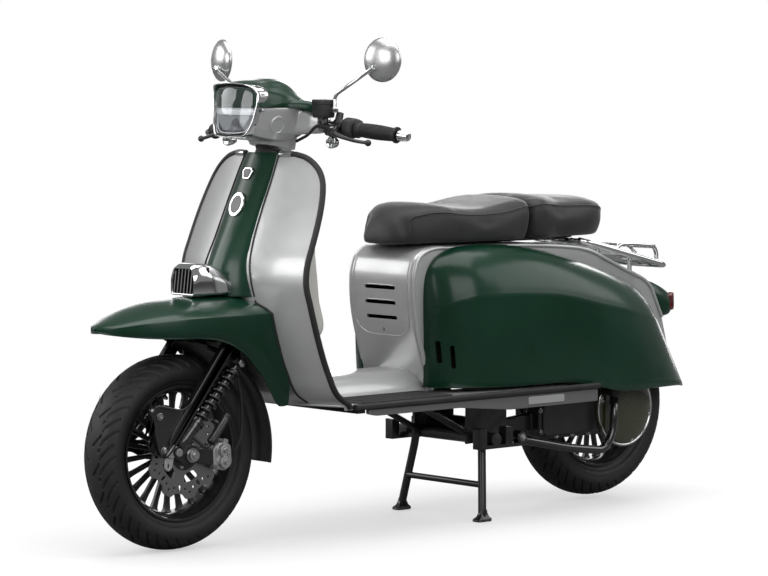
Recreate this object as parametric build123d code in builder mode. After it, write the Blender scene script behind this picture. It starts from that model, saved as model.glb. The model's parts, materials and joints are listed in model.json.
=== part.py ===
from build123d import *
import math
import os

# Overall sizes, mm. +X forward, +Y left, +Z up, origin on the ground at mid length.
wheelbase = 1390.0
front_tyre_r = 229.4
front_tyre_w = 110.0
rear_tyre_r = 236.4
rear_tyre_w = 120.0
rear_lift = 9.0
tail_overhang = 305.0
rake = 24.0
shield_half = 240.0
shield_bulge = 62.0
shield_wall = 5.0
shield_top = 925.0
panel_half = 235.0
panel_wall = 4.0
body_half = 116.0
body_wall = 4.0
floor_half = 235.0
floor_low = 320.0
floor_top = 332.0
rail_w = 20.0
rail_h = 14.0
guard_half = 140.0
guard_wall = 3.0
seat_low = 697.0
seat_half = 148.0
seat_split = 340.0
bar_r = 11.0
bar_z = 990.0
grip_half = 345.0
stem_r = 15.0
head_r = 27.0
leg_y = 97.0
leg_r = 14.0
front_axle_r = 8.0
rear_axle_r = 9.0
rim_r = 152.4
rim_half = 38.0
hub_r = 34.0
disc_y = 55.0
disc_r = 108.0
spokes = 22
stand_x = 500.0
stand_z = 205.0
stand_tube_r = 16.0
stand_foot_y = 150.0
run_gap = 0.05
skin_gap = 0.3

front_axle_x = (wheelbase + tail_overhang - front_tyre_r) / 2
rear_axle_x = front_axle_x - wheelbase
front_axle_z = front_tyre_r
rear_axle_z = rear_tyre_r + rear_lift

tilt = math.radians(rake)
steer_up = Vector(-math.sin(tilt), 0, math.cos(tilt))


def fx(dx):
    """A station measured from the front axle."""
    return front_axle_x + dx


def rx(dx):
    """A station measured from the rear axle."""
    return rear_axle_x + dx


def steer_x(z):
    """Where the steering axis stands at height z."""
    return front_axle_x - (z - front_axle_z) * math.tan(tilt)


def steer_plane(z):
    """A plane square to the steering axis at height z."""
    return Plane(origin=(steer_x(z), 0, z), x_dir=(0, 1, 0), z_dir=steer_up)


def bow(x_edge, half, bulge):
    """Points across the bowed shield at one height, right to left."""
    rows = []
    for n in range(-4, 5):
        y = half * n / 4
        rows.append((x_edge + bulge * (1 - (y / shield_half) ** 2), y))
    return rows


def sheet(outer, inner):
    """A closed band between two open point rows."""
    with BuildLine() as ring:
        Polyline(*outer, *reversed(inner), close=True)
    make_face(ring.edges())


def dee(back, front, half):
    """Points round a D-shaped ridge at one height, right to left."""
    deep = front - back
    side = [(back, half), (back + deep * 0.45, half * 0.93), (back + deep * 0.8, half * 0.66)]
    left = [(x, y) for x, y in side]
    right = [(x, -y) for x, y in side]
    return right + [(front, -half * 0.22), (front, half * 0.22)] + left[::-1]


def tube(points, bend, r):
    """A round tube along a path with rounded corners."""
    with BuildLine() as path:
        if len(points) > 2:
            run = FilletPolyline(*points, radius=bend)
        else:
            run = Line(*points)
    with BuildSketch(Plane(origin=run @ 0, z_dir=run % 0)) as ring:
        Circle(r)
    sweep(ring.sketch.faces(), path=path.line)


def rod(start, end, r, mode=Mode.ADD):
    """A round bar between two points."""
    a = Vector(*start)
    b = Vector(*end)
    with Locations(Plane(origin=a, z_dir=b - a)):
        Cylinder(r, (b - a).length, align=(Align.CENTER, Align.CENTER, Align.MIN), mode=mode)


def cross_bar(x, y_low, y_high, z, r, mode=Mode.ADD):
    """A round bar along Y."""
    rod((x, y_low, z), (x, y_high, z), r, mode)


def block(x_low, x_high, y_low, y_high, z_low, z_high, mode=Mode.ADD):
    """A box between two corners."""
    with Locations((x_low, y_low, z_low)):
        Box(x_high - x_low, y_high - y_low, z_high - z_low, align=(Align.MIN, Align.MIN, Align.MIN), mode=mode)


def side_prism(points, y_low, y_high, mode=Mode.ADD):
    """A side outline in XZ carried from y_low to y_high."""
    with BuildSketch(Plane(origin=(0, y_low, 0), x_dir=(1, 0, 0), z_dir=(0, 1, 0))) as view:
        with BuildLine():
            Polyline(*[(x, -z) for x, z in points], close=True)
        make_face()
    extrude(view.sketch.faces(), amount=y_high - y_low, mode=mode)


def cross_plane(x):
    """A plane across the scooter, drawn in Y and Z."""
    return Plane(origin=(x, 0, 0), x_dir=(0, 1, 0), z_dir=(1, 0, 0))


# Legshield: a bowed sheet whose edge line leans with the steering axis.
shield_line = (
    (floor_top, -352), (354, -316), (415, -281), (494, -253), (573, -234), (620, -227),
    (670, -233), (709, -248), (779, -277), (846, -307), (940, -350),
)

with BuildPart() as shield_back:
    for z, dx in shield_line:
        with BuildSketch(Plane.XY.offset(z)):
            sheet(bow(fx(dx) + skin_gap, shield_half, shield_bulge), bow(fx(dx) - 200, shield_half, shield_bulge))
    loft(ruled=True)

with BuildPart() as shield_front:
    for z, dx in shield_line:
        with BuildSketch(Plane.XY.offset(z)):
            sheet(
                bow(fx(dx) + 200, shield_half, shield_bulge),
                bow(fx(dx) - shield_wall - skin_gap, shield_half, shield_bulge),
            )
    loft(ruled=True)

with BuildPart() as legshield:
    for z, dx in shield_line:
        with BuildSketch(Plane.XY.offset(z)):
            sheet(bow(fx(dx), shield_half, shield_bulge), bow(fx(dx) - shield_wall, shield_half, shield_bulge))
    loft(ruled=True)
    with BuildSketch(cross_plane(fx(-500))) as front_view:
        with BuildLine():
            Polyline(
                (-shield_half, floor_top - 5), (-shield_half + 4, 573), (-shield_half + 14, 760),
                (-shield_half + 24, shield_top), (shield_half - 24, shield_top),
                (shield_half - 14, 760), (shield_half - 4, 573), (shield_half, floor_top - 5), close=True,
            )
        make_face()
        fillet(front_view.vertices().sort_by(Axis.Y)[-2:], radius=100)
    extrude(amount=460, mode=Mode.INTERSECT)
    with Locations(steer_plane(545)):
        Cylinder(head_r + 5, 420, align=(Align.CENTER, Align.CENTER, Align.MIN), mode=Mode.SUBTRACT)

# Front mudguard: a shell with a falling nose, open below over the wheel.
guard_line = (
    (204, 14, 523, 531, 533), (185, 50, 516, 533, 544), (150, 88, 511, 541, 559), (110, 114, 508, 545, 572),
    (60, 131, 506, 548, 584), (0, 138, 504, 551, 590), (-56, guard_half, 494, 552, 592),
    (-96, guard_half, 477, 552, 592), (-131, guard_half, 452, 552, 592), (-155, guard_half, 427, 552, 592),
    (-175, guard_half, 404, 552, 592), (-193, guard_half, 378, 552, 592), (-222, guard_half, 334, 552, 592),
    (-300, guard_half, 334, 552, 592),
)


def hoop(half, low, edge, top):
    """Points over the mudguard at one station, right to left."""
    up = top - edge
    right = [(-half, low), (-half, edge), (-half * 0.8, edge + up * 0.5), (-half * 0.4, edge + up * 0.88)]
    left = [(-y, z) for y, z in right[::-1]]
    return right + [(0, top)] + left


with BuildPart() as front_mudguard:
    for dx, half, low, edge, top in guard_line:
        with BuildSketch(cross_plane(fx(dx))):
            outer = hoop(half, low, edge, top)
            inner = hoop(half - guard_wall, low, edge - guard_wall / 2, top - guard_wall)
            sheet(outer, inner)
    loft(ruled=True)
    add(shield_back.part, mode=Mode.SUBTRACT)
    with Locations(steer_plane(545)):
        Cylinder(stem_r + 6, 80, align=(Align.CENTER, Align.CENTER, Align.MIN), mode=Mode.SUBTRACT)

# Horn casting: a hollow ridge down the middle of the shield, from the neck to the mudguard.
horn_line = (
    (593, -215, -131, 97), (660, -215, -138, 83), (716, -220, -164, 73),
    (782, -240, -196, 70), (874, -280, -238, 67), (926, -304, -262, 62),
)

with BuildPart() as horn_block:
    for z, back, front, half in horn_line:
        with BuildSketch(Plane.XY.offset(z)):
            with BuildLine():
                Polyline(*dee(fx(back), fx(front) + skin_gap, half), close=True)
            make_face()
    loft(ruled=True)

with BuildPart() as horn_casting:
    for z, back, front, half in horn_line:
        with BuildSketch(Plane.XY.offset(z)):
            sheet(dee(fx(back), fx(front), half), dee(fx(back), fx(front - 4), half - 4))
    loft(ruled=True)
    add(shield_back.part, mode=Mode.SUBTRACT)


# Horn grille: a beak with upright bars, at the foot of the casting.
with BuildPart() as horn_grille:
    side_prism(
        [
            (fx(-150), 593.3), (fx(-150), 640), (fx(-125), 653), (fx(-102), 666), (fx(-56), 669),
            (fx(-36), 659), (fx(-42), 593.3),
        ],
        -50, 50,
    )
    block(fx(-64), fx(-30), -43, 43, 600, 655, Mode.SUBTRACT)
    for n in range(-3, 4):
        block(fx(-66), fx(-46), n * 12.5 - 2.5, n * 12.5 + 2.5, 598, 657)
    add(horn_block.part, mode=Mode.SUBTRACT)

# Glovebox: a hollow cover behind the shield, with a lid on its flat rear face.
glove_half = 160.0
glove_line = ((447, -285), (500, -350), (760, -322), (795, -296))
lid_low = 512.0
lid_high = 748.0
lid_half = 118.0
lid_t = 4.0
lid_pin_r = 1.5
lid_pin_z = 510.5


def glove_x(z):
    """Where the glovebox's flat rear face stands at height z."""
    return fx(-350 + (z - 500) * 28 / 260)


lid_pin_x = glove_x(lid_low) - 3.3

with BuildPart() as glove_inside:
    for z, back in ((450, -279), (500, -347), (760, -319), (792, -293)):
        with BuildSketch(Plane.XY.offset(z)):
            sheet(
                [(fx(-100), -glove_half + 3), (fx(back) + 22, -glove_half + 3), (fx(back), -glove_half + 25)],
                [(fx(-100), glove_half - 3), (fx(back) + 22, glove_half - 3), (fx(back), glove_half - 25)],
            )
    loft(ruled=True)

with BuildPart() as glovebox:
    for z, back in glove_line:
        with BuildSketch(Plane.XY.offset(z)):
            sheet(
                [(fx(-190), -glove_half), (fx(back) + 24, -glove_half), (fx(back), -glove_half + 24)],
                [(fx(-190), glove_half), (fx(back) + 24, glove_half), (fx(back), glove_half - 24)],
            )
    loft(ruled=True)
    add(glove_inside.part, mode=Mode.SUBTRACT)
    add(shield_front.part, mode=Mode.SUBTRACT)
    block(fx(-360), fx(-300), -lid_half + 10, lid_half - 10, lid_low + 10, lid_high - 10, Mode.SUBTRACT)
    block(fx(-300), fx(-190), -head_r - 4, head_r + 4, 440, 455, Mode.SUBTRACT)
    with Locations(steer_plane(640)):
        Cylinder(head_r + 5, 320, align=(Align.CENTER, Align.CENTER, Align.MIN), mode=Mode.SUBTRACT)
    for near in (-98, 92):
        block(lid_pin_x, lid_pin_x + 6, near, near + 6, lid_pin_z - 3, lid_pin_z + 3)
        cross_bar(lid_pin_x, near, near + 6, lid_pin_z, 3)
    cross_bar(lid_pin_x, -98, 98, lid_pin_z, lid_pin_r)

with BuildPart() as glovebox_lid:
    side_prism(
        [
            (glove_x(lid_low), lid_low), (glove_x(lid_high), lid_high),
            (glove_x(lid_high) - lid_t, lid_high), (glove_x(lid_low) - lid_t, lid_low),
        ],
        -lid_half, lid_half,
    )
    block(lid_pin_x - 8, lid_pin_x + 8, -99, -91.5, lid_low - 5, lid_low + 4, Mode.SUBTRACT)
    block(lid_pin_x - 8, lid_pin_x + 8, 91.5, 99, lid_low - 5, lid_low + 4, Mode.SUBTRACT)
    cross_bar(lid_pin_x, -91.5, 91.5, lid_pin_z, 3)
    cross_bar(lid_pin_x, -99, 99, lid_pin_z, lid_pin_r + run_gap, Mode.SUBTRACT)

# Rear body: a hollow spine between the side panels, open below.
body_line = (
    (672, floor_top), (700, 420), (722, 500), (731, 580), (727, 640), (702, 676), (665, 690), (480, 690),
    (300, 672), (210, 648), (-25, 578), (-94, 548), (-150, 520), (-178, 480), (-238, floor_top),
)
body_in_line = (
    (668, floor_top - 20), (696, 421), (718, 501), (727, 580), (723, 639), (699, 673), (664, 686), (480, 686),
    (300, 668), (211, 644), (-24, 574), (-92, 544), (-147, 517), (-174, 478), (-234, floor_top - 20),
)
body_plan = (
    (760, body_half - 8), (600, body_half), (200, body_half), (70, body_half - 8), (-30, body_half - 24),
    (-94, body_half - 36), (-260, body_half - 40),
)


def plan_prism(points, z_low, z_high, mode):
    """A mirrored plan outline carried up from z_low to z_high."""
    left = [(rx(x), y) for x, y in points]
    right = [(rx(x), -y) for x, y in points[::-1]]
    with BuildSketch(Plane.XY.offset(z_low)) as view:
        with BuildLine():
            Polyline(*left, *right, close=True)
        make_face()
    extrude(view.sketch.faces(), amount=z_high - z_low, mode=mode)


tub_front = 654.0
tub_rear = 396.0
tub_half = 85.5
tub_low = 455.0
hinge_x = 752.0
hinge_z = 683.0
hinge_pin_r = 3.0

with BuildPart() as body_block:
    side_prism([(rx(x), z) for x, z in body_line], -body_half, body_half)
    plan_prism(body_plan, 200, 800, Mode.INTERSECT)

with BuildPart() as body_inside:
    side_prism([(rx(x), z) for x, z in body_in_line], -body_half, body_half)
    plan_prism([(x, y - body_wall) for x, y in body_plan], 200, 800, Mode.INTERSECT)

with BuildPart() as rear_body:
    add(body_block.part)
    add(body_inside.part, mode=Mode.SUBTRACT)
    block(rx(tub_rear - 0.5), rx(tub_front + 0.5), -tub_half - 0.5, tub_half + 0.5, 600, 760, Mode.SUBTRACT)
    for z in (508, 545, 582):
        block(rx(690), rx(760), -56, 56, z, z + 10, Mode.SUBTRACT)
    for side in (-1, 1):
        block(rx(700), rx(756), side * 29 - 3, side * 29 + 3, 655, 687)
    cross_bar(rx(hinge_x), -29, 29, hinge_z, hinge_pin_r)
    block(rx(650), rx(705), -25, 25, floor_top - 30, 372, Mode.SUBTRACT)

# Side panels: bulged shells that close on the rear body.
panel_line = (
    (675, 342, 712, 655, 114, 140), (650, 342, 685, 672, 118, 176), (600, 341, 630, 684, 122, 205),
    (450, 339, 500, 688, 132, 230), (280, 336, 360, 675, 134, 238), (100, 303, 210, 644, 130, 232),
    (-50, 300, 70, 604, 118, 208), (-170, 295, -30, 571, 100, 166), (-250, 285, -90, 545, 88, 118),
    (-275, 281, -105, 538, 84, 98),
)


def rib(half_top, half, height, wall):
    """Points down a side panel at one station, from its top edge."""
    knee = height * 0.66
    rows = []
    for deg in (0, 25, 48, 70, 90):
        turn = math.radians(deg)
        rows.append((
            half_top + (half - wall - half_top) * math.sin(turn),
            knee + (height - wall - knee) * math.cos(turn),
        ))
    return rows + [(half - wall + 1, height * 0.35), (half - wall - 3, height * 0.12), (half - wall - 8, 0)]


with BuildPart() as side_panel_left:
    for xb, zb, xt, zt, half_top, half in panel_line:
        low = Vector(rx(xb), 0, zb)
        high = Vector(rx(xt), 0, zt)
        rise = high - low
        cut = Plane(origin=low, x_dir=(0, 1, 0), z_dir=rise.cross(Vector(0, -1, 0)))
        with BuildSketch(cut):
            sheet(
                rib(half_top, half, rise.length, 0),
                rib(half_top, half, rise.length, panel_wall),
            )
    loft(ruled=True)
    block(rx(480), rx(520), body_half, panel_half - 6, 420, 436)

with BuildPart() as side_panel_right:
    add(side_panel_left.part.mirror(Plane.XZ))

# Floor: a flat pan with a hollow middle tunnel.
tunnel_line = ((-95, floor_top), (-88, 352), (-62, 385), (62, 385), (88, 352), (95, floor_top))

with BuildPart() as floor_pan:
    with BuildSketch(Plane.XY.offset(floor_low)) as pan_view:
        with BuildLine():
            Polyline(*bow(fx(-352), floor_half, shield_bulge), (rx(300), floor_half), (rx(300), -floor_half), close=True)
        make_face()
    extrude(pan_view.sketch.faces(), amount=floor_top - floor_low)
    block(rx(290), rx(650), -112, 112, floor_low - 5, floor_top + 5, Mode.SUBTRACT)
    block(rx(640), fx(-310), -40, 40, floor_low - 5, floor_top + 5, Mode.SUBTRACT)
    with BuildSketch(cross_plane(rx(660))) as hump:
        sheet(tunnel_line, [(y * 0.955, z - (4 if z > floor_top else 0)) for y, z in tunnel_line])
    extrude(hump.sketch.faces(), amount=fx(-200) - rx(660))
    block(fx(-348), fx(-200), -25, 25, 345, 420, Mode.SUBTRACT)
    add(shield_front.part, mode=Mode.SUBTRACT)
    add(body_block.part.moved(Location((skin_gap, 0, 0))), mode=Mode.SUBTRACT)

with BuildPart() as floor_mats:
    for side in (-1, 1):
        block(rx(690), fx(-385), min(side * 100, side * 226), max(side * 100, side * 226), floor_top, floor_top + 4)

with BuildPart() as edge_rails:
    for side in (-1, 1):
        near = side * floor_half
        far = side * (floor_half + rail_w)
        block(rx(211), fx(-362), min(near, far), max(near, far), floor_low, floor_low + rail_h)

with BuildPart() as side_skirts:
    for near in (floor_half, -floor_half - 12):
        side_prism(
            [
                (rx(215), 288), (rx(215), floor_low), (fx(-405), floor_low), (fx(-405), 309), (fx(-430), 303),
                (rx(690), 303), (rx(523), 287),
            ],
            near, near + 12,
        )

# Main frame: headstock, spine, rear rails, stand cross tube and outriggers.
with BuildPart() as main_frame:
    with Locations(steer_plane(640)):
        Cylinder(head_r, 290, align=(Align.CENTER, Align.CENTER, Align.MIN))
    tube(
        [(steer_x(668), 0, 668), (fx(-247), 0, 545), (fx(-255), 0, 440), (fx(-330), 0, 348), (rx(655), 0, 348)],
        50, 22,
    )
    with Locations(steer_plane(590)):
        Cylinder(stem_r + run_gap, 390, align=(Align.CENTER, Align.CENTER, Align.MIN), mode=Mode.SUBTRACT)
    cross_bar(rx(655), -96, 96, 348, 12)
    for side in (-1, 1):
        tube(
            [(rx(655), side * 96, 348), (rx(440), side * 96, 348), (rx(300), side * 96, 600), (rx(0), side * 76, 533)],
            40, 12,
        )
        side_prism(
            [(rx(396), 196), (rx(396), 300), (rx(470), 348), (rx(530), 348), (rx(532), 190)],
            side * 98 - 4, side * 98 + 4,
        )
        rod((rx(712), side * 98, 308), (rx(526), side * 98, 215), 8)
        near = min(side * 98, side * 112)
        block(rx(288), rx(312), near, near + 14, 588, 600)
        near = min(side * 150, side * 176)
        block(rx(405), rx(557), near, near + 26, 183, 192)
        block(rx(444), rx(468), near, near + 26, 183, 234)
        block(rx(533), rx(557), near, near + 26, 183, 234)
    block(rx(135), rx(165), 70, 106, 520, 566)
    block(rx(380), rx(640), -98, 98, 354, 360)
    cross_bar(rx(stand_x), -176, 176, stand_z, stand_tube_r)
    for x in (rx(700), fx(-430)):
        block(x, x + 24, -205, 205, 306, floor_low)
        block(x, x + 24, -20, 20, 306, 340)

with BuildPart() as battery_pack:
    block(rx(400), rx(636), -80, 80, 360, tub_low)

with BuildPart() as storage_tub:
    block(rx(tub_rear), rx(tub_front), -tub_half, tub_half, tub_low, 689)
    block(rx(tub_rear + 3), rx(tub_front - 3), -tub_half + 3, tub_half - 3, tub_low + 3, 700, Mode.SUBTRACT)

# Seats on one hinged base.
rider_line = (
    (792, 50, 712, 726, 736), (782, 84, 703, 748, 762), (760, 112, 699, 768, 783), (725, 132, 697, 780, 794),
    (680, 142, 697, 780, 795), (600, 148, 697, 770, 782), (520, 150, 697, 769, 783), (433, 150, 697, 774, 795),
    (361, 146, 697, 786, 803), (seat_split + 2, 142, 697, 788, 803),
)
pillion_line = (
    (seat_split - 2, 140, 697, 786, 801), (223, 128, 697, 784, 800), (120, 112, 697, 782, 798),
    (30, 94, 697, 776, 790), (-15, 74, 699, 764, 776), (-35, 50, 712, 745, 756),
)


def pad(half, low, edge, top):
    """Points round a seat at one station."""
    left = [(half * 0.94, low), (half, low + (edge - low) * 0.5), (half * 0.88, edge), (half * 0.5, top - 3)]
    right = [(-y, z) for y, z in left[::-1]]
    return left + [(0, top)] + right


with BuildPart() as rider_seat:
    for x, half, low, edge, top in rider_line:
        with BuildSketch(cross_plane(rx(x))):
            with BuildLine():
                Polyline(*pad(half, low, edge, top), close=True)
            make_face()
    loft(ruled=True)

with BuildPart() as pillion_seat:
    for x, half, low, edge, top in pillion_line:
        with BuildSketch(cross_plane(rx(x))):
            with BuildLine():
                Polyline(*pad(half, low, edge, top), close=True)
            make_face()
    loft(ruled=True)

with BuildPart() as seat_base:
    plan_prism([(722, 84), (660, 112), (300, 112), (110, 80)], 690, seat_low, Mode.ADD)
    block(rx(700), rx(hinge_x), -22, 22, 684, 691)
    cross_bar(rx(hinge_x), -22, 22, hinge_z, 7)
    cross_bar(rx(hinge_x), -30, 30, hinge_z, hinge_pin_r + run_gap, Mode.SUBTRACT)

# Rear rack: a hoop on posts, with a raised rear loop.
with BuildPart() as rear_rack:
    tube(
        [(rx(80), 80, 682), (rx(-222), 80, 608), (rx(-222), -80, 608), (rx(80), -80, 682)],
        34, 8,
    )
    tube(
        [(rx(-60), 52, 646), (rx(-196), 52, 656), (rx(-196), -52, 656), (rx(-60), -52, 646)],
        26, 6,
    )
    cross_bar(rx(-60), -80, 80, 646, 6)
    cross_bar(rx(60), -80, 80, 676, 6)
    cross_bar(rx(-140), -80, 80, 627, 6)
    for side in (-1, 1):
        rod((rx(40), side * 80, 550), (rx(40), side * 80, 674), 7)
        rod((rx(-80), side * 70, 500), (rx(-80), side * 79, 642), 7)
    add(body_block.part, mode=Mode.SUBTRACT)

# Tail light.
with BuildPart() as tail_housing:
    for x, half, low, top in ((-120, 56, 480, 580), (-176, 58, 470, 574), (-260, 54, 468, 550), (-291, 50, 474, 535)):
        with BuildSketch(cross_plane(rx(x))):
            with BuildLine():
                Polyline(
                    (-half, low), (-half, top - 24), (-half * 0.6, top), (half * 0.6, top), (half, top - 24),
                    (half, low), close=True,
                )
            make_face()
    loft(ruled=True)
    add(body_block.part.moved(Location((-skin_gap, 0, skin_gap))), mode=Mode.SUBTRACT)

with BuildPart() as tail_lens:
    block(rx(-tail_overhang), rx(-291), -46, 46, 480, 530)

# Drive unit: the rear arm and motor case on the left of the wheel.
with BuildPart() as drive_unit:
    block(rx(53), rx(297), 68, 128, 180, 322)
    block(rx(280), rx(410), 68, 93, 202, 250)
    cross_bar(rx(410), -93.7, 93.7, 222, 19)
    cross_bar(rx(0), 82, 128, rear_axle_z, 62)
    cross_bar(rx(0), -84, 100, rear_axle_z, rear_axle_r)
    cross_bar(rx(0), -84, -74, rear_axle_z, 16)

with BuildPart() as hub_cover:
    cross_bar(rx(0), 128, 136, rear_axle_z, 102)

with BuildPart() as guard_tube:
    tube(
        [(rx(404), 168, 206), (rx(248), 168, 166), (rx(110), 168, 146), (rx(76), 168, 205), (rx(76), 168, 300)],
        26, 11,
    )
    cross_bar(rx(76), 136, 180, 298, 13)
    cross_bar(rx(412), 156, 176, 205, 12.5)

with BuildPart() as rear_shock:
    rod((rx(150), 88, 322), (rx(150), 88, 520), 8)
    rod((rx(150), 88, 345), (rx(150), 88, 500), 17)

# Centre stand, down on the floor.
with BuildPart() as centre_stand:
    for side in (-1, 1):
        near = min(side * 108, side * 140)
        cross_bar(rx(stand_x), near, near + 32, stand_z, stand_tube_r + 5)
        rod((rx(stand_x), side * 124, stand_z), (rx(stand_x + 25), side * stand_foot_y, 10), 10)
        near = side * stand_foot_y - 16
        block(rx(stand_x + 3), rx(stand_x + 47), near, near + 32, 0, 14)
    cross_bar(rx(stand_x + 15), -139, 139, 90, 8)
    for side in (-1, 1):
        near = min(side * 100, side * 145)
        cross_bar(rx(stand_x), near, near + 45, stand_z, stand_tube_r + run_gap, Mode.SUBTRACT)


def tyre(x, z, r, w, bead_r, bead_half):
    """A tyre as one closed ring, its bead a little off the rim."""
    with BuildSketch(Plane(origin=(x, 0, z), x_dir=(0, 1, 0), z_dir=(1, 0, 0))) as half_cut:
        with BuildLine():
            Polyline(
                (-bead_half, bead_r), (-bead_half, bead_r + 9), (-w * 0.47, bead_r + 22), (-w / 2, r * 0.815),
                (-w * 0.465, r * 0.885), (-w * 0.35, r * 0.953), (-w * 0.18, r * 0.99), (0, r),
                (w * 0.18, r * 0.99), (w * 0.35, r * 0.953), (w * 0.465, r * 0.885), (w / 2, r * 0.815),
                (w * 0.47, bead_r + 22), (bead_half, bead_r + 9), (bead_half, bead_r), close=True,
            )
        make_face()
    revolve(half_cut.sketch.faces(), axis=Axis((x, 0, z), (0, 1, 0)))


def rim(x, z, half, bore, hub_half):
    """A rim with a hub and flat radial spokes."""
    cross_bar(x, -half - 5, half + 5, z, rim_r + 7)
    cross_bar(x, -half, half, z, rim_r - 12, Mode.SUBTRACT)
    cross_bar(x, half, half + 6, z, rim_r - 4, Mode.SUBTRACT)
    cross_bar(x, -half - 6, -half, z, rim_r - 4, Mode.SUBTRACT)
    with BuildSketch(Plane(origin=(x, 0, z), x_dir=(0, 1, 0), z_dir=(1, 0, 0))) as well:
        with BuildLine():
            Polyline((-half, rim_r), (-half, rim_r + 10), (half, rim_r + 10), (half, rim_r), close=True)
        make_face()
    revolve(well.sketch.faces(), axis=Axis((x, 0, z), (0, 1, 0)), mode=Mode.SUBTRACT)
    for n in range(spokes):
        turn = 2 * math.pi * n / spokes
        near = Vector(x + (hub_r - 4) * math.cos(turn), 0, z + (hub_r - 4) * math.sin(turn))
        with Locations(Plane(origin=near, x_dir=(math.cos(turn), 0, math.sin(turn)), z_dir=(0, 1, 0))):
            Box(rim_r - 12 - hub_r + 10, 9, 12, align=(Align.MIN, Align.CENTER, Align.CENTER))
    cross_bar(x, -hub_half, hub_half, z, hub_r)
    cross_bar(x, -80, 80, z, bore, Mode.SUBTRACT)


with BuildPart() as front_rim:
    rim(front_axle_x, front_axle_z, rim_half, front_axle_r + run_gap, disc_y - 2)
    cross_bar(front_axle_x, disc_y - 4, 66, front_axle_z, 20)
    cross_bar(front_axle_x, -66, -disc_y + 4, front_axle_z, 20)
    cross_bar(front_axle_x, -80, 80, front_axle_z, front_axle_r + run_gap, Mode.SUBTRACT)

with BuildPart() as front_tyre:
    tyre(front_axle_x, front_axle_z, front_tyre_r, front_tyre_w, rim_r + skin_gap, rim_half - skin_gap)

with BuildPart() as rear_rim:
    rim(rear_axle_x, rear_axle_z, rim_half + 4, rear_axle_r + run_gap, 68)

with BuildPart() as rear_tyre:
    tyre(rear_axle_x, rear_axle_z, rear_tyre_r, rear_tyre_w, rim_r + skin_gap, rim_half + 4 - skin_gap)

with BuildPart() as brake_disc:
    cross_bar(front_axle_x, disc_y - 2, disc_y + 2, front_axle_z, disc_r)
    cross_bar(front_axle_x, disc_y - 9, disc_y + 9, front_axle_z, 20 + skin_gap, Mode.SUBTRACT)
    for n in range(10):
        turn = 2 * math.pi * n / 10
        for ring, hole in ((disc_r + 8, 14), (84, 6), (52, 12)):
            shift = turn if ring > 100 else turn + math.pi / 10
            x = front_axle_x + ring * math.cos(shift)
            z = front_axle_z + ring * math.sin(shift)
            rod((x, disc_y - 6, z), (x, disc_y + 6, z), hole, Mode.SUBTRACT)

# Fork: stem, crown, legs with lower plates, and shock lugs.
crown_z = 500.0
link_x = 95.0
link_z = 250.0
shock_top = (-128, 438)
shock_low = (58, 242)

with BuildPart() as fork:
    rod((steer_x(crown_z), 0, crown_z), (steer_x(984), 0, 984), stem_r)
    cross_bar(steer_x(crown_z), -leg_y, leg_y, crown_z, 16)
    for side in (-1, 1):
        rod((steer_x(crown_z), side * leg_y, crown_z), (fx(link_x), side * leg_y, link_z), leg_r)
        side_prism(
            [(fx(40), 330), (fx(112), 356), (fx(130), 344), (fx(112), 246), (fx(95), 236), (fx(80), 262)],
            side * leg_y - 4, side * leg_y + 4,
        )
        near = min(side * 72, side * leg_y)
        cross_bar(fx(link_x), near, near + leg_y - 72, link_z, 7)
        near = min(side * (leg_y - 13), side * (leg_y - 8))
        side_prism(
            [(fx(-132), 497), (fx(-110), 497), (fx(-116), 430), (fx(-140), 430), (fx(-140), 462)], near, near + 5,
        )
        near = min(side * (leg_y - 11), side * (leg_y + 15))
        cross_bar(fx(shock_top[0]), near, near + 26, shock_top[1], 6)

with BuildPart() as fork_links:
    for side in (-1, 1):
        near = min(side * 72, side * 82)
        side_prism(
            [
                (fx(-14), front_axle_z + 14), (fx(88), link_z + 16), (fx(108), link_z), (fx(98), link_z - 16),
                (fx(0), front_axle_z - 18), (fx(-20), front_axle_z),
            ],
            near, near + 10,
        )
        low = min(side * 74, side * (leg_y + 15))
        cross_bar(fx(shock_low[0]), low, low + leg_y - 59, shock_low[1], 6)
        cross_bar(fx(link_x), near - 1, near + 11, link_z, 7 + run_gap, Mode.SUBTRACT)
    side_prism([(fx(-10), 240), (fx(-10), 216), (fx(-62), 202), (fx(-62), 232)], 72, 82)
    cross_bar(fx(0), -92, 92, front_axle_z, front_axle_r)
    for near in (-92, 84):
        cross_bar(fx(0), near, near + 8, front_axle_z, 14)

with BuildPart() as front_shocks:
    for side in (-1, 1):
        y = side * leg_y
        top = Vector(fx(shock_top[0]), y, shock_top[1])
        low = Vector(fx(shock_low[0]), y, shock_low[1])
        along = (low - top).normalized()
        rod(tuple(top), tuple(low), 8)
        rod(tuple(top + along * 26), tuple(low - along * 84), 19)
        rod(tuple(low - along * 90), tuple(low - along * 20), 15)
        near = min(side * (leg_y - 7), side * (leg_y + 9))
        cross_bar(fx(shock_top[0]), near, near + 16, shock_top[1], 12)
        cross_bar(fx(shock_low[0]), near, near + 16, shock_low[1], 12)
        cross_bar(fx(shock_top[0]), near - 1, near + 17, shock_top[1], 6 + run_gap, Mode.SUBTRACT)
        cross_bar(fx(shock_low[0]), near - 1, near + 17, shock_low[1], 6 + run_gap, Mode.SUBTRACT)

with BuildPart() as brake_caliper:
    side_prism(
        [(fx(-62), 190), (fx(-62), 240), (fx(-84), 256), (fx(-122), 248), (fx(-124), 196), (fx(-100), 182)],
        38, 98,
    )
    cross_bar(fx(0), disc_y - 7.5, disc_y + 7.5, front_axle_z, disc_r + 6, Mode.SUBTRACT)

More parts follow.
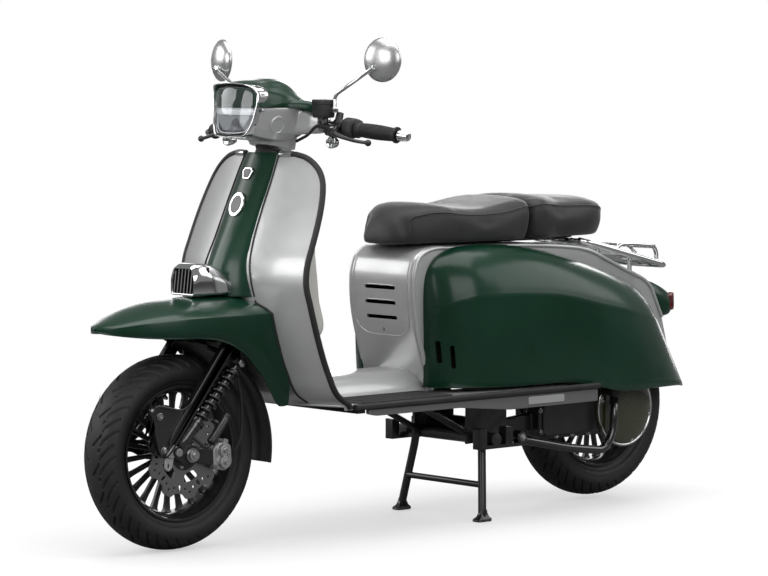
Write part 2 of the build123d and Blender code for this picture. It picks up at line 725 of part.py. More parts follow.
with BuildPart() as inner_guard:
    cross_bar(fx(0), -66, 66, front_axle_z, 262)
    cross_bar(fx(0), -70, 70, front_axle_z, 257, Mode.SUBTRACT)
    side_prism(
        [
            (fx(0), front_axle_z), (fx(300 * math.cos(math.radians(79))), front_axle_z + 300 * math.sin(math.radians(79))),
            (fx(-10), 560), (fx(-320), 560), (fx(-320), 186),
        ],
        -70, 70, Mode.INTERSECT,
    )
    rod((steer_x(crown_z) + 16, 0, crown_z - 36), (steer_x(crown_z), 0, crown_z), 20)
    cross_bar(steer_x(crown_z), -80, 80, crown_z, 16 + skin_gap, Mode.SUBTRACT)

# Headset: silver lower half with the neck, green upper half, bezel and lens.
part_z = 1034.0
pod_front = -202.0


def pod(half, low, high, slope):
    """An eight-sided cross section of the headset."""
    return [
        (-half * slope, low), (-half, low + (high - low) * 0.45), (-half, high), (half, high),
        (half, low + (high - low) * 0.45), (half * slope, low),
    ]


def dome(half, low, edge, top):
    """A cross section of the upper headset."""
    return [(-half, low), (-half * 0.93, edge), (-half * 0.5, top), (half * 0.5, top), (half * 0.93, edge), (half, low)]


arm_half = 128.0
bar_in = (fx(-368), 105, 994)
bar_out = (fx(-412), 346, 969)


def bar_point(y):
    """A point on the left bar's axis at width y."""
    part = (y - bar_in[1]) / (bar_out[1] - bar_in[1])
    return (
        bar_in[0] + (bar_out[0] - bar_in[0]) * part,
        y,
        bar_in[2] + (bar_out[2] - bar_in[2]) * part,
    )


def flip(point, side):
    """The same point on the left (1) or right (-1)."""
    return (point[0], point[1] * side, point[2])


def arm(sections):
    """A tapered arm outwards, mirrored to both sides."""
    for side in (-1, 1):
        for y, x_low, x_high, z_low, z_high in sections:
            with BuildSketch(Plane(origin=(0, side * y, 0), x_dir=(1, 0, 0), z_dir=(0, 1, 0))) as cut:
                with BuildLine():
                    Polyline(
                        (fx(x_low), -z_high), (fx(x_high), -z_high), (fx(x_high), -z_low), (fx(x_low), -z_low),
                        close=True,
                    )
                make_face()
            if y == sections[0][0]:
                first = cut.sketch.face()
            else:
                second = cut.sketch.face()
        loft([first, second], ruled=True)


with BuildPart() as headset_lower:
    for dx, half, low, slope in (
        (-388, 56, 976, 0.8), (-350, 84, 958, 0.75), (-290, 88, 950, 0.7), (-235, 84, 957, 0.7),
        (pod_front, 78, 966, 0.72),
    ):
        with BuildSketch(cross_plane(fx(dx))):
            with BuildLine():
                Polyline(*pod(half, low, part_z, slope), close=True)
            make_face()
    loft(ruled=True)
    arm([(50, -390, -300, 964, part_z), (arm_half, -392, -350, 974, 1014)])
    for z, x_low, x_high, half in ((990, -370, -240, 60), (900, -352, -262, 46)):
        with BuildSketch(Plane.XY.offset(z)) as neck:
            with BuildLine():
                Polyline(
                    (fx(x_low), -half * 0.5), (fx(x_low + 30), -half), (fx(x_high - 30), -half),
                    (fx(x_high), -half * 0.4), (fx(x_high), half * 0.4), (fx(x_high - 30), half),
                    (fx(x_low + 30), half), (fx(x_low), half * 0.5), close=True,
                )
            make_face()
        if z == 990:
            upper = neck.sketch.face()
    loft([upper, neck.sketch.face()], ruled=True)
    with Locations(steer_plane(938)):
        Box(300, 400, 120, align=(Align.CENTER, Align.CENTER, Align.MAX), mode=Mode.SUBTRACT)
    rod((steer_x(900), 0, 900), (steer_x(984.3), 0, 984.3), stem_r + skin_gap, Mode.SUBTRACT)

with BuildPart() as headset_upper:
    for dx, half, edge, top in (
        (-390, 54, 1044, 1050), (-352, 80, 1066, 1082), (-314, 86, 1084, 1100), (-257, 86, 1084, 1098),
        (pod_front, 80, 1074, 1089),
    ):
        with BuildSketch(cross_plane(fx(dx))):
            with BuildLine():
                Polyline(*dome(half, part_z, edge, top), close=True)
            make_face()
    loft(ruled=True)
    arm([(50, -390, -300, part_z, 1066), (arm_half, -392, -350, 1014.3, 1040)])
    block(fx(-400), fx(-280), -arm_half - 2, arm_half + 2, 990, part_z, Mode.SUBTRACT)

frame_view = ((-62, 964), (-80, 1000), (-84, 1072), (-70, 1090), (70, 1090), (84, 1072), (80, 1000), (62, 964))

with BuildPart() as headlight_bezel:
    with BuildSketch(cross_plane(fx(pod_front))) as ring:
        with BuildLine():
            Polyline(*frame_view, close=True)
        make_face()
        with BuildLine():
            Polyline(*[(y * 0.87, 1027 + (z - 1027) * 0.87) for y, z in frame_view], close=True)
        make_face(mode=Mode.SUBTRACT)
    extrude(ring.sketch.faces(), amount=34)

with BuildPart() as headlight_lens:
    with BuildSketch(cross_plane(fx(pod_front))) as disc:
        with BuildLine():
            Polyline(*[(y * 0.865, 1027 + (z - 1027) * 0.865) for y, z in frame_view], close=True)
        make_face()
    extrude(disc.sketch.faces(), amount=22)

# Handlebar with its fittings, alike on both sides.
with BuildPart() as handlebar:
    for side in (-1, 1):
        rod(flip(bar_point(arm_half + 2.5), side), flip(bar_point(grip_half), side), bar_r)
        rod(flip(bar_point(grip_half), side), flip(bar_point(grip_half + 31), side), 12)

with BuildPart() as grips:
    for side in (-1, 1):
        rod(flip(bar_point(223), side), flip(bar_point(grip_half - 0.3), side), 16.5)
        rod(flip(bar_point(210), side), flip(bar_point(grip_half + 5), side), bar_r + skin_gap, Mode.SUBTRACT)

with BuildPart() as switchgear:
    for side in (-1, 1):
        near = min(side * 136, side * 206)
        block(fx(-392), fx(-346), near, near + 70, 966, 1010)
        near = min(side * 132, side * 164)
        block(fx(-372), fx(-332), near, near + 32, 1006, 1051)
        rod(flip(bar_point(204), side), flip(bar_point(222), side), 21)
        rod(flip(bar_point(100), side), flip(bar_point(240), side), bar_r + skin_gap, Mode.SUBTRACT)

with BuildPart() as levers:
    for side in (-1, 1):
        near = min(side * 166, side * 192)
        block(fx(-346), fx(-324), near, near + 26, 972, 990)
        rod((fx(-334), side * 186, 981), (fx(-345), side * 312, 952), 5)
        with Locations((fx(-345), side * 312, 952)):
            Sphere(8)

with BuildPart() as indicators:
    for side in (-1, 1):
        rod((fx(-362), side * 190, 936), (fx(-362), side * 190, 966), 14)

with BuildPart() as mirrors:
    for side in (-1, 1):
        rod((fx(-378), side * 172, 1010), (fx(-378), side * 172, 1060), 5)
        rod((fx(-378), side * 172, 1060), (fx(-395), side * 276, 1122), 5)
        rod((fx(-403), side * 301, 1145), (fx(-387), side * 301, 1145), 54)

nodes = {
    "main_frame": main_frame, "legshield": legshield, "horn_casting": horn_casting,
    "horn_grille": horn_grille, "front_mudguard": front_mudguard, "glovebox": glovebox,
    "glovebox_lid": glovebox_lid, "floor_pan": floor_pan, "floor_mats": floor_mats,
    "edge_rails": edge_rails, "side_skirts": side_skirts, "rear_body": rear_body,
    "side_panel_left": side_panel_left, "side_panel_right": side_panel_right,
    "storage_tub": storage_tub, "battery_pack": battery_pack, "rear_rack": rear_rack,
    "tail_housing": tail_housing, "tail_lens": tail_lens, "drive_unit": drive_unit,
    "hub_cover": hub_cover, "guard_tube": guard_tube,
    "rear_shock": rear_shock, "centre_stand": centre_stand, "rider_seat": rider_seat,
    "pillion_seat": pillion_seat, "seat_base": seat_base, "fork": fork, "fork_links": fork_links,
    "front_shocks": front_shocks, "brake_caliper": brake_caliper,
    "inner_guard": inner_guard, "headset_lower": headset_lower, "headset_upper": headset_upper,
    "headlight_bezel": headlight_bezel, "headlight_lens": headlight_lens, "handlebar": handlebar,
    "grips": grips, "switchgear": switchgear, "levers": levers,
    "indicators": indicators, "mirrors": mirrors, "front_rim": front_rim, "front_tyre": front_tyre,
    "brake_disc": brake_disc, "rear_rim": rear_rim, "rear_tyre": rear_tyre,
}

os.makedirs("parts", exist_ok=True)
for name, built in nodes.items():
    built.part.label = name
    export_step(built.part, "parts/" + name + ".step")
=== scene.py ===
import json
import math

import bmesh
import bpy
import numpy as np
from mathutils import Matrix, Vector
from mathutils.bvhtree import BVHTree


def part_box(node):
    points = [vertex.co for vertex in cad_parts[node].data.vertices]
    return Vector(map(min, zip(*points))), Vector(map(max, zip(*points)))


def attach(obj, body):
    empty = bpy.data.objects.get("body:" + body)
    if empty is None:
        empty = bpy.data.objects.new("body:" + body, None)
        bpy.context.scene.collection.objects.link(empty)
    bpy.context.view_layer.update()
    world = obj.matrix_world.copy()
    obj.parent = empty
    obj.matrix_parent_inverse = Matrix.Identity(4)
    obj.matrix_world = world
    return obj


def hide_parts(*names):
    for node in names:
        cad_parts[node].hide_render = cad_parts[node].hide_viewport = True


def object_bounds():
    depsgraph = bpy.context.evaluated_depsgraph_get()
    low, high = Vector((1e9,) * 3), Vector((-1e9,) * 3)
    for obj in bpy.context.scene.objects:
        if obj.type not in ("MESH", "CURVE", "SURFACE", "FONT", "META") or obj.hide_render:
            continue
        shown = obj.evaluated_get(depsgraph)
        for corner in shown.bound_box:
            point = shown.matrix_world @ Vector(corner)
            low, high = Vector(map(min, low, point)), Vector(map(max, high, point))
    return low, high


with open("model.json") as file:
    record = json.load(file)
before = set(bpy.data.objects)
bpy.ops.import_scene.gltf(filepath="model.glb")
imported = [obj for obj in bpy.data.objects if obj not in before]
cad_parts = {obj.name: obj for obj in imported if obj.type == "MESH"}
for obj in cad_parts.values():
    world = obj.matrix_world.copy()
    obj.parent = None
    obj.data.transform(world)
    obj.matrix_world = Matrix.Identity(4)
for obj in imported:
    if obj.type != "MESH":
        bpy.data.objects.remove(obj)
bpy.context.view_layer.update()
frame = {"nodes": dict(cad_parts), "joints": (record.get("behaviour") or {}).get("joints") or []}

# Main frame: welded steel tube with the headstock, the rear rails and the stand bracket, sprayed in black enamel.
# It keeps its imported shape. Its welds and cut edges are rounded, and the enamel is thinner and duller in patches.
joint = {made["name"]: made for made in frame["joints"]}
front_axle = Vector(joint["front_wheel_spin"]["pos_m"])
rear_axle = Vector(joint["rear_wheel_spin"]["pos_m"])


class Field:
    """A value or colour on its way through a finish. Sums and products of fields add their own Math nodes."""

    def __init__(self, graph, node, socket=0):
        self.graph = graph
        self.node = node
        self.socket = node.outputs[socket]

    def pick(self, socket):
        return Field(self.graph, self.node, socket)

    def sum(self, operation, *values):
        return self.graph.node("ShaderNodeMath", {"operation": operation}, values)

    def __add__(self, other):
        return self.sum("ADD", self, other)

    def __sub__(self, other):
        return self.sum("SUBTRACT", self, other)

    def __rsub__(self, other):
        return self.sum("SUBTRACT", other, self)

    def __mul__(self, other):
        return self.sum("MULTIPLY", self, other)

    def __truediv__(self, other):
        return self.sum("DIVIDE", self, other)

    def __pow__(self, other):
        return self.sum("POWER", self, other)

    __radd__ = __add__
    __rmul__ = __mul__


class Graph:
    """A node tree that is written as expressions."""

    def __init__(self, tree):
        self.tree = tree

    def node(self, kind, settings={}, values={}):
        made = self.tree.nodes.new(kind)
        for key, value in settings.items():
            if key == "stops":
                for stop, (place,
                    tone) in zip([*made.color_ramp.elements] + [made.color_ramp.elements.new(
                    0.5) for _ in value[2:]], value):
                    stop.position = place
                    stop.color = (tone, tone, tone, 1)
            else:
                setattr(made, key, value)
        for key, value in values.items() if isinstance(values, dict) else enumerate(values):
            if isinstance(value, Field):
                self.tree.links.new(value.socket, made.inputs[key])
            else:
                made.inputs[key].default_value = value
        return Field(self, made)


class Finish(Graph):
    """A material: what is even goes straight on the shader, what varies comes from fields."""

    def __init__(self, name, colour, rough, metal=0.0, coat=0.0, **even):
        self.material = bpy.data.materials.new(name)
        self.material.use_nodes = True
        super().__init__(self.material.node_tree)
        self.shader = self.tree.nodes["Principled BSDF"]
        self.even("Base Color", (*colour, 1))
        self.even("Roughness", rough)
        self.even("Metallic", metal)
        self.even("Coat Weight", coat)
        self.even("Coat Roughness", 0.04)
        for key, value in even.items():
            self.even(key.replace("_", " ").title().replace("Ior", "IOR"), value)
        self.colour = (*colour, 1)
        self.place = self.node("ShaderNodeTexCoord").pick("Object")
        self.bumps = None

    def even(self, socket, value):
        self.shader.inputs[socket].default_value = value

    def feed(self, socket, field):
        self.tree.links.new(field.socket, self.shader.inputs[socket])

    def noise(self, scale, detail=3.0, place=None):
        return self.node("ShaderNodeTexNoise", {},
            {"Vector": place or self.place, "Scale": scale, "Detail": detail})

    def band(self, field, low, high, out_low=0.0, out_high=1.0):
        return self.node("ShaderNodeMapRange", {},
            {"Value": field, "From Min": low, "From Max": high, "To Min": out_low, "To Max": out_high})

    def blend(self, factor, first, second):
        return self.node("ShaderNodeMix", {"data_type": "RGBA"}, {0: factor, 6: first, 7: second}).pick(2)

    def bump(self, height, depth, strength=1.0):
        values = {"Strength": strength, "Distance": depth, "Height": height}
        if self.bumps:
            values["Normal"] = self.bumps
        self.bumps = self.node("ShaderNodeBump", {}, values)
        self.feed("Normal", self.bumps)

    def vary(self, tone, rough_low, rough_high, scale=9.0):
        """A little dust and handling: the colour drifts to tone and the gloss comes and goes."""
        patch = self.noise(scale, 5.0)
        self.feed("Base Color", self.blend(self.band(patch, 0.42, 0.72), self.colour, (*tone, 1)))
        self.feed("Roughness", self.band(self.noise(scale * 7, 4.0) * 0.5 + patch * 0.5, 0.35, 0.68,
            rough_low, rough_high))


def dress(node, finish, round_edge=0.0012, smooth=True):
    """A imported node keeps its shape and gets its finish, joined corners and rounded edges."""
    part = frame["nodes"][node]
    part.data.materials.clear()
    part.data.materials.append(finish.material)
    if smooth:
        part.data.polygons.foreach_set("use_smooth", [True] * len(part.data.polygons))
        part.modifiers.new("joined", "WELD").merge_threshold = 0.00002
        edge = part.modifiers.new("rounded", "BEVEL")
        edge.width = round_edge
        edge.segments = 2
        edge.angle_limit = math.radians(35)
        edge.harden_normals = True
    return part


enamel = Finish("black_enamel", (0.011, 0.011, 0.012), 0.34, coat=0.35)
enamel.vary((0.02, 0.02, 0.021), 0.26, 0.46, 14.0)
enamel.bump(enamel.noise(420.0, 2.0), 0.00012, 0.6)
dress("main_frame", enamel)

# Battery case and storage tub: the case is a flat-sided black tray with a ribbed lid, the tub is moulded plastic.
# Both sit between the rear rails and are seen from below and with the seat up.
moulded = Finish("moulded_plastic", (0.016, 0.016, 0.017), 0.5)
moulded.vary((0.026, 0.026, 0.027), 0.42, 0.62, 11.0)
moulded.bump(moulded.node("ShaderNodeTexVoronoi", {}, {"Vector": moulded.place, "Scale": 900.0}), 0.00015,
    0.5)
dress("battery_pack", moulded, 0.003)
dress("storage_tub", moulded, 0.002)
# Legshield: one pressed steel sheet, bowed forwards and sprayed metallic silver front and back.
# A black rubber bead is pushed over its raw edge, with a folded chrome clip on each side at the top.


def spread(rows):
    """How far along the loft each row stands, from the mean distance between neighbours."""
    step = np.linalg.norm(np.diff(rows, axis=0), axis=-1).reshape(len(rows) - 1, -1).mean(1)
    return np.concatenate([[0], np.cumsum(np.maximum(step, 1e-7))])


def fair(rows, count):
    """A smooth curve through every column of the rows, cut into count even rows."""
    rows = np.array(rows, float)
    at = spread(rows)
    gap = np.diff(at)
    shape = (-1,) + (1,) * (rows.ndim - 1)
    slope = np.diff(rows, axis=0) / gap.reshape(shape)
    turn = np.empty_like(rows)
    turn[0], turn[-1] = slope[0], slope[-1]
    before, after = gap[:-1].reshape(shape), gap[1:].reshape(shape)
    turn[1:-1] = (slope[:-1] * after + slope[1:] * before) / (before + after)
    want = np.linspace(0, at[-1], count)
    k = np.clip(np.searchsorted(at, want, "right") - 1, 0, len(gap) - 1)
    f = ((want - at[k]) / gap[k]).reshape(shape)
    g = gap[k].reshape(shape)
    return (
        rows[k] * (2 * f**3 - 3 * f**2 + 1) + rows[k + 1] * (3 * f**2 - 2 * f**3)
        + turn[k] * g * (f**3 - 2 * f**2 + f) + turn[k + 1] * g * (f**3 - f**2)
    )


def grid_mesh(rows, wrap=False, cap=False):
    """Vertices and faces of a sheet of rows, closed round the columns if it wraps."""
    rows = np.asarray(rows, float)
    n, m = rows.shape[:2]
    faces = []
    for i in range(n - 1):
        for j in range(m if wrap else m - 1):
            k = (j + 1) % m
            faces.append((i * m + j, i * m + k, (i + 1) * m + k, (i + 1) * m + j))
    if cap:
        faces += [tuple(range(m))[::-1], tuple(range((n - 1) * m, n * m))]
    return rows.reshape(-1, 3), faces


def made(name, verts, faces, turn_out=True):
    """A linked object with its doubles merged and its faces turned outwards."""
    mesh = bpy.data.meshes.new(name)
    mesh.from_pydata([tuple(v) for v in verts], [], faces)
    work = bmesh.new()
    work.from_mesh(mesh)
    bmesh.ops.remove_doubles(work, verts=work.verts, dist=1e-5)
    bmesh.ops.dissolve_degenerate(work, edges=work.edges, dist=1e-6)
    if turn_out:
        bmesh.ops.recalc_face_normals(work, faces=work.faces)
    work.to_mesh(mesh)
    work.free()
    piece = bpy.data.objects.new(name, mesh)
    bpy.context.scene.collection.objects.link(piece)
    return piece


def thicken(piece, wall, offset=-1.0):
    solid = piece.modifiers.new("wall", "SOLIDIFY")
    solid.thickness = wall
    solid.offset = offset


def ease(piece, width, segments=2, angle=35):
    edge = piece.modifiers.new("eased", "BEVEL")
    edge.width = width
    edge.segments = segments
    edge.angle_limit = math.radians(angle)


def settle(piece, finish, body, *nodes, slot=None, sharp=40):
    """Applies the modifiers, shades it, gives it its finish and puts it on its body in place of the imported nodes."""
    evaluated = piece.evaluated_get(bpy.context.evaluated_depsgraph_get())
    mesh = bpy.data.meshes.new_from_object(evaluated)
    piece.modifiers.clear()
    piece.data = mesh
    mesh.name = piece.name
    mesh.materials.clear()
    mesh.materials.append(finish.material)
    mesh.polygons.foreach_set("use_smooth", [True] * len(mesh.polygons))
    if sharp:
        mesh.set_sharp_from_angle(angle=math.radians(sharp))
    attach(piece, body)
    if nodes:
        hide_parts(*nodes)
    return piece


def bent(points, radius, steps=7):
    """A path with its corners rounded."""
    points = [Vector(p) for p in points]
    path = [points[0]]
    for before, here, after in zip(points, points[1:], points[2:]):
        back, on = (before - here), (after - here)
        cut = min(radius, back.length * 0.49, on.length * 0.49)
        a, b = here + back.normalized() * cut, here + on.normalized() * cut
        path += [a * (1 - t) ** 2 + here * 2 * t * (1 - t) + b * t * t for t in np.linspace(0, 1, steps)]
    return path + [points[-1]]


def pipe(name, path, radius, sides=16, closed=False):
    """A round rod or tube along a path, with closed ends. The radius may be a list."""
    path = [Vector(p) for p in path]
    count = len(path)
    radii = radius if hasattr(radius, "__len__") else [radius] * count
    ways = []
    for i in range(count):
        if closed:
            ways.append((path[(i + 1) % count] - path[i - 1]).normalized())
        else:
            ways.append((path[min(i + 1, count - 1)] - path[max(i - 1, 0)]).normalized())
    side = ways[0].orthogonal().normalized()
    rows = []
    for way, here, r in zip(ways, path, radii):
        side = (side - way * side.dot(way)).normalized()
        up = way.cross(side)
        rows.append([here + (side * math.cos(a) + up * math.sin(a)) * r for a in np.linspace(0, 2 * math.pi,
            sides, endpoint=False)])
    if closed:
        rows.append(rows[0])
    verts, faces = grid_mesh([[tuple(p) for p in row] for row in rows], wrap=True, cap=not closed)
    return made(name, verts, faces)


shield_line = np.array(
    [(332, -352), (354, -316), (415, -281), (494, -253), (573, -234), (620, -227), (670, -233), (709, -248),
    (779, -277), (846, -307), (926, -343)]
)
shield_edge = np.array(
    [(326, 239), (415, 239), (494, 238), (573, 235), (620, 231), (700, 229), (760, 226), (800, 221),
    (835, 213), (862, 203), (884, 188), (902, 167), (915, 142), (922, 112)]
)


def shield_x(y, z):
    """The front face of the legshield, metres, for points in metres."""
    line = fair([[(z_, dx, 0)] for z_, dx in shield_line], 240)[:, 0]
    dx = np.interp(np.asarray(z) * 1000, line[:, 0], line[:, 1])
    return front_axle.x + 0.001 * (dx + 62 * (1 - (np.asarray(y) / 0.24) ** 2))


edge_curve = fair([[(y, z, 0)] for z, y in shield_edge], 70)[:, 0] * 0.001
rows = []
for half, z in edge_curve[:, :2]:
    across = np.linspace(-1, 1, 41) * half
    rows.append([(shield_x(y, z), y, z) for y in across])
rim_path = [Vector((shield_x(y, z) - 0.0025, y, z)) for y, z in edge_curve[:, :2]]
rim_path = rim_path + [Vector((shield_x(y, 0.922) - 0.0025, y, 0.922)) for y in (0.095, 0.075)]
silver = Finish("silver_metallic", (0.55, 0.553, 0.557), 0.34, metal=0.45, coat=0.6)
silver.vary((0.5, 0.503, 0.508), 0.28, 0.38, 5.0)
silver.bump(silver.noise(2600.0, 1.0), 0.00003, 0.35)
silver.bump(silver.noise(55.0, 1.0), 0.00025, 0.12)
shield = made("legshield_sheet", *grid_mesh(rows), turn_out=False)
for face in shield.data.polygons[:1]:
    if face.normal.x < 0:
        shield.data.flip_normals()
thicken(shield, 0.005)
ease(shield, 0.0012)
settle(shield, silver, "chassis", "legshield", slot="silver")

rubber = Finish("black_rubber", (0.012, 0.012, 0.012), 0.55)
rubber.vary((0.022, 0.022, 0.022), 0.48, 0.68, 16.0)
rubber.bump(rubber.noise(700.0, 3.0), 0.0002, 0.6)
chrome = Finish("chrome_plate", (0.78, 0.785, 0.79), 0.09, metal=1.0)
chrome.vary((0.72, 0.725, 0.73), 0.06, 0.14, 12.0)
for side, hand in ((1, "left"), (-1, "right")):
    path = [Vector((p.x, p.y * side, p.z)) for p in rim_path]
    settle(pipe("edge_bead_" + hand, path, 0.0072, 18), rubber, "chassis", slot="black_rubber")
    clip = [Vector((shield_x(y, 0.922) - 0.0025, y * side, 0.922)) for y in (0.102, 0.09, 0.078, 0.066)]
    settle(pipe("bead_clip_" + hand, clip, [0.0088, 0.0093, 0.0093, 0.0086], 20), chrome, "chassis",
        slot="chrome")

# Horn casting: a deep ridge bolted down the middle of the shield, from the neck to the mudguard, in gloss green.
# It is cast hollow with a soft flat front. A thin rubber gasket seals its edge, and it carries two blank chrome badges.
green = Finish("green_gloss", (0.0026, 0.0290, 0.0140), 0.32, coat=0.85, specular_ior_level=0.12)
green.even("Coat IOR", 1.38)
green.even("Coat Roughness", 0.2)
green.vary((0.005, 0.039, 0.021), 0.26, 0.4, 4.0)
green.bump(green.noise(60.0, 1.0), 0.00025, 0.1)
horn_line = ((590, -215, -133, 97), (626, -213, -136, 91), (660, -215, -143, 83), (716, -222, -166, 73),
    (782, -242, -198, 69), (874, -280, -239, 66), (926, -304, -262, 62))
ribs = []
for z, back, front, half in horn_line:
    deep = front - back
    outline = [
        (back - 1, half), (back + deep * 0.28, half * 0.975), (back + deep * 0.55, half * 0.88),
        (back + deep * 0.76, half * 0.68),
        (back + deep * 0.9, half * 0.45), (front - 1.2, half * 0.2), (front, 0),
    ]
    curve = fair([[(front_axle.x + x * 0.001, y * 0.001, z * 0.001)] for x, y in outline], 26)[:, 0]
    right = curve.copy()
    right[:, 1] *= -1
    ribs.append(np.concatenate([right, curve[::-1][1:]]))
ribs = fair(ribs, 80)
for row in ribs:
    for j in range(len(row)):
        row[j, 0] = max(row[j, 0], shield_x(row[j, 1], row[j, 2]) - 0.0005)
casting = made("horn_casting_shell", *grid_mesh(ribs), turn_out=False)
if casting.data.polygons[len(casting.data.polygons) // 2].normal.x < 0:
    casting.data.flip_normals()
thicken(casting, 0.004)
ease(casting, 0.0008)
settle(casting, green, "chassis", "horn_casting", slot="body_green")
for side, hand in ((1, "left"), (-1, "right")):
    seam = [(shield_x(half * 0.001, z * 0.001) + 0.0008, side * (half + 0.6) * 0.001, z * 0.001) for z,
        back, front, half in horn_line]
    seam = fair([[p] for p in seam], 50)[:, 0]
    settle(pipe("casting_gasket_" + hand, seam, 0.0022, 8), rubber, "chassis", slot="black_rubber")


def casting_x(y, z):
    """The casting's front face at a width and a height, metres."""
    row = ribs[np.argmin(np.abs(ribs[:, 0, 2] - z))]
    near = row[np.argsort(row[:, 1])]
    return float(np.interp(y, near[:, 1], near[:, 0]))


def cutout(name, loops, thickness, rounding=0.0, resolution=2):
    """A flat plate in X and Y cut to its first loop, less the others, with rounded edges."""
    curve = bpy.data.curves.new(name, "CURVE")
    curve.dimensions = "2D"
    curve.fill_mode = "BOTH"
    curve.extrude = thickness / 2 - rounding
    curve.bevel_depth = rounding
    curve.bevel_resolution = resolution
    curve.offset = -rounding
    for loop in loops:
        spline = curve.splines.new("POLY")
        spline.points.add(len(loop) - 1)
        for point, (x, y) in zip(spline.points, loop):
            point.co = (x, y, 0, 1)
        spline.use_cyclic_u = True
    plate = bpy.data.objects.new(name, curve)
    bpy.context.scene.collection.objects.link(plate)
    mesh = bpy.data.meshes.new_from_object(plate.evaluated_get(bpy.context.evaluated_depsgraph_get()))
    bpy.data.objects.remove(plate)
    piece = bpy.data.objects.new(name, mesh)
    bpy.context.scene.collection.objects.link(piece)
    return piece


def stood(piece, matrix):
    """Puts a mesh made flat at the origin in its place."""
    piece.data.transform(matrix)
    if matrix.determinant() < 0:
        piece.data.flip_normals()
    return piece


def facing(origin, out, up=(0, 0, 1)):
    """A frame at origin whose Z looks out and whose Y is as near up as it can be."""
    out = Vector(out).normalized()
    across = Vector(up).cross(out).normalized()
    turned = Matrix((across, out.cross(across), out)).transposed().to_4x4()
    turned.translation = Vector(origin)
    return turned


def rounded(points, radius, steps=5):
    """A closed outline with its corners rounded."""
    loop = []
    count = len(points)
    for i in range(count):
        here = Vector(points[i])
        back, on = Vector(points[i - 1]) - here, Vector(points[(i + 1) % count]) - here
        cut = min(radius, back.length * 0.49, on.length * 0.49)
        a, b = here + back.normalized() * cut, here + on.normalized() * cut
        loop += [tuple(a * (1 - t) ** 2 + here * 2 * t * (1 - t) + b * t * t) for t in np.linspace(0, 1,
            steps)]
    return loop


def ring(radius, count=40, wide=1.0):
    return [(math.cos(a) * radius * wide, math.sin(a) * radius) for a in np.linspace(0, 2 * math.pi, count,
        endpoint=False)]


lean = math.tan(math.radians(24))
out_way = Vector((1, 0, lean * 0.82))
for name, z, loops, thickness in (
    ("small_badge", 0.876, [rounded([(-0.019, 0.006), (-0.013, 0.015), (0.013, 0.015), (0.019, 0.006),
    (0.011, -0.015), (-0.011, -0.015)], 0.003)], 0.006),
    ("large_badge", 0.803, [ring(0.031, 48, 0.8)], 0.007),
):
    spot = Vector((casting_x(0.0, z) + 0.0015, 0, z))
    settle(stood(cutout(name, loops, thickness, 0.0016), facing(spot, out_way)), chrome, "chassis",
        slot="chrome")
    inner = [[(x * 0.72, y * 0.72) for x, y in loops[0]]]
    settle(stood(cutout(name + "_field", inner, 0.003, 0.0008),
        facing(spot + out_way.normalized() * 0.0029, out_way)), enamel, "chassis", slot="frame_black")

# Horn grille: a chromed beak at the foot of the casting, open in front, with seven upright fins over a hole whose shade
# is a painted black sheet.
# The hood is a die casting. The fins are thin strips that lean with the mouth.
hood = []
for dx, low, top, half in ((-150, 594, 640, 50), (-125, 594, 653, 50), (-100, 594, 665, 49.5),
    (-72, 594, 669, 48), (-50, 594, 666.5, 46), (-40, 594.5, 660, 44)):
    x = front_axle.x + dx * 0.001
    shape = rounded([(-half, low), (-half * 1.0, low + (top - low) * 0.6), (-half * 0.74, top),
        (half * 0.74, top), (half, low + (top - low) * 0.6), (half, low)], 9, 6)
    hood.append([(x, y * 0.001, z * 0.001) for y, z in shape])
hood = fair(hood, 24)
beak = made("horn_grille_hood", *grid_mesh(hood, wrap=True))
thicken(beak, 0.0045)
ease(beak, 0.001)
settle(beak, chrome, "chassis", "horn_grille", slot="chrome")
# A near-black sheet inside the hood, behind the fins, is painted shade: it stands for the shadow in the grille's
# hollow.
painted_shade = Finish("black_void", (0.004, 0.004, 0.004), 0.85)
back = made("horn_grille_back", [(front_axle.x - 0.082, y, z) for y, z in ((-0.045, 0.597), (0.045, 0.597),
    (0.045, 0.66), (-0.045, 0.66))], [(0, 1, 2, 3)])
thicken(back, 0.003)
settle(back, painted_shade, "chassis", slot="black_plastic")


def repeater(name):
    """Puts a copy of a blank on every point of a mesh, turned by the point's own turn and sized by the given scale."""
    tree = bpy.data.node_groups.new(name, "GeometryNodeTree")
    tree.interface.new_socket("Points", in_out="INPUT", socket_type="NodeSocketGeometry")
    tree.interface.new_socket("Blank", in_out="INPUT", socket_type="NodeSocketObject")
    tree.interface.new_socket("Scale", in_out="INPUT", socket_type="NodeSocketFloat")
    tree.interface.new_socket("Finish", in_out="INPUT", socket_type="NodeSocketMaterial")
    tree.interface.new_socket("Pieces", in_out="OUTPUT", socket_type="NodeSocketGeometry")
    graph = Graph(tree)
    given = Field(graph, tree.nodes.new("NodeGroupInput"))
    blank = graph.node("GeometryNodeObjectInfo", {}, {"Object": given.pick("Blank")}).pick("Geometry")
    turn = graph.node("GeometryNodeInputNamedAttribute", {"data_type": "FLOAT_VECTOR"}, {"Name": "turn"})
    copies = graph.node("GeometryNodeInstanceOnPoints", {},
        {"Points": given.pick("Points"), "Instance": blank, "Rotation": turn, "Scale": given.pick("Scale")})
    real = graph.node("GeometryNodeRealizeInstances", {}, [copies])
    done = graph.node("GeometryNodeSetMaterial", {}, {"Geometry": real, "Material": given.pick("Finish")})
    tree.links.new(done.socket, tree.nodes.new("NodeGroupOutput").inputs[0])
    return tree


repeat_tree = repeater("repeat_on_points")


def given_inputs(modifier, **values):
    for item in modifier.node_group.interface.items_tree:
        if item.item_type == "SOCKET" and item.in_out == "INPUT" and item.name in values:
            modifier[item.identifier] = values[item.name]


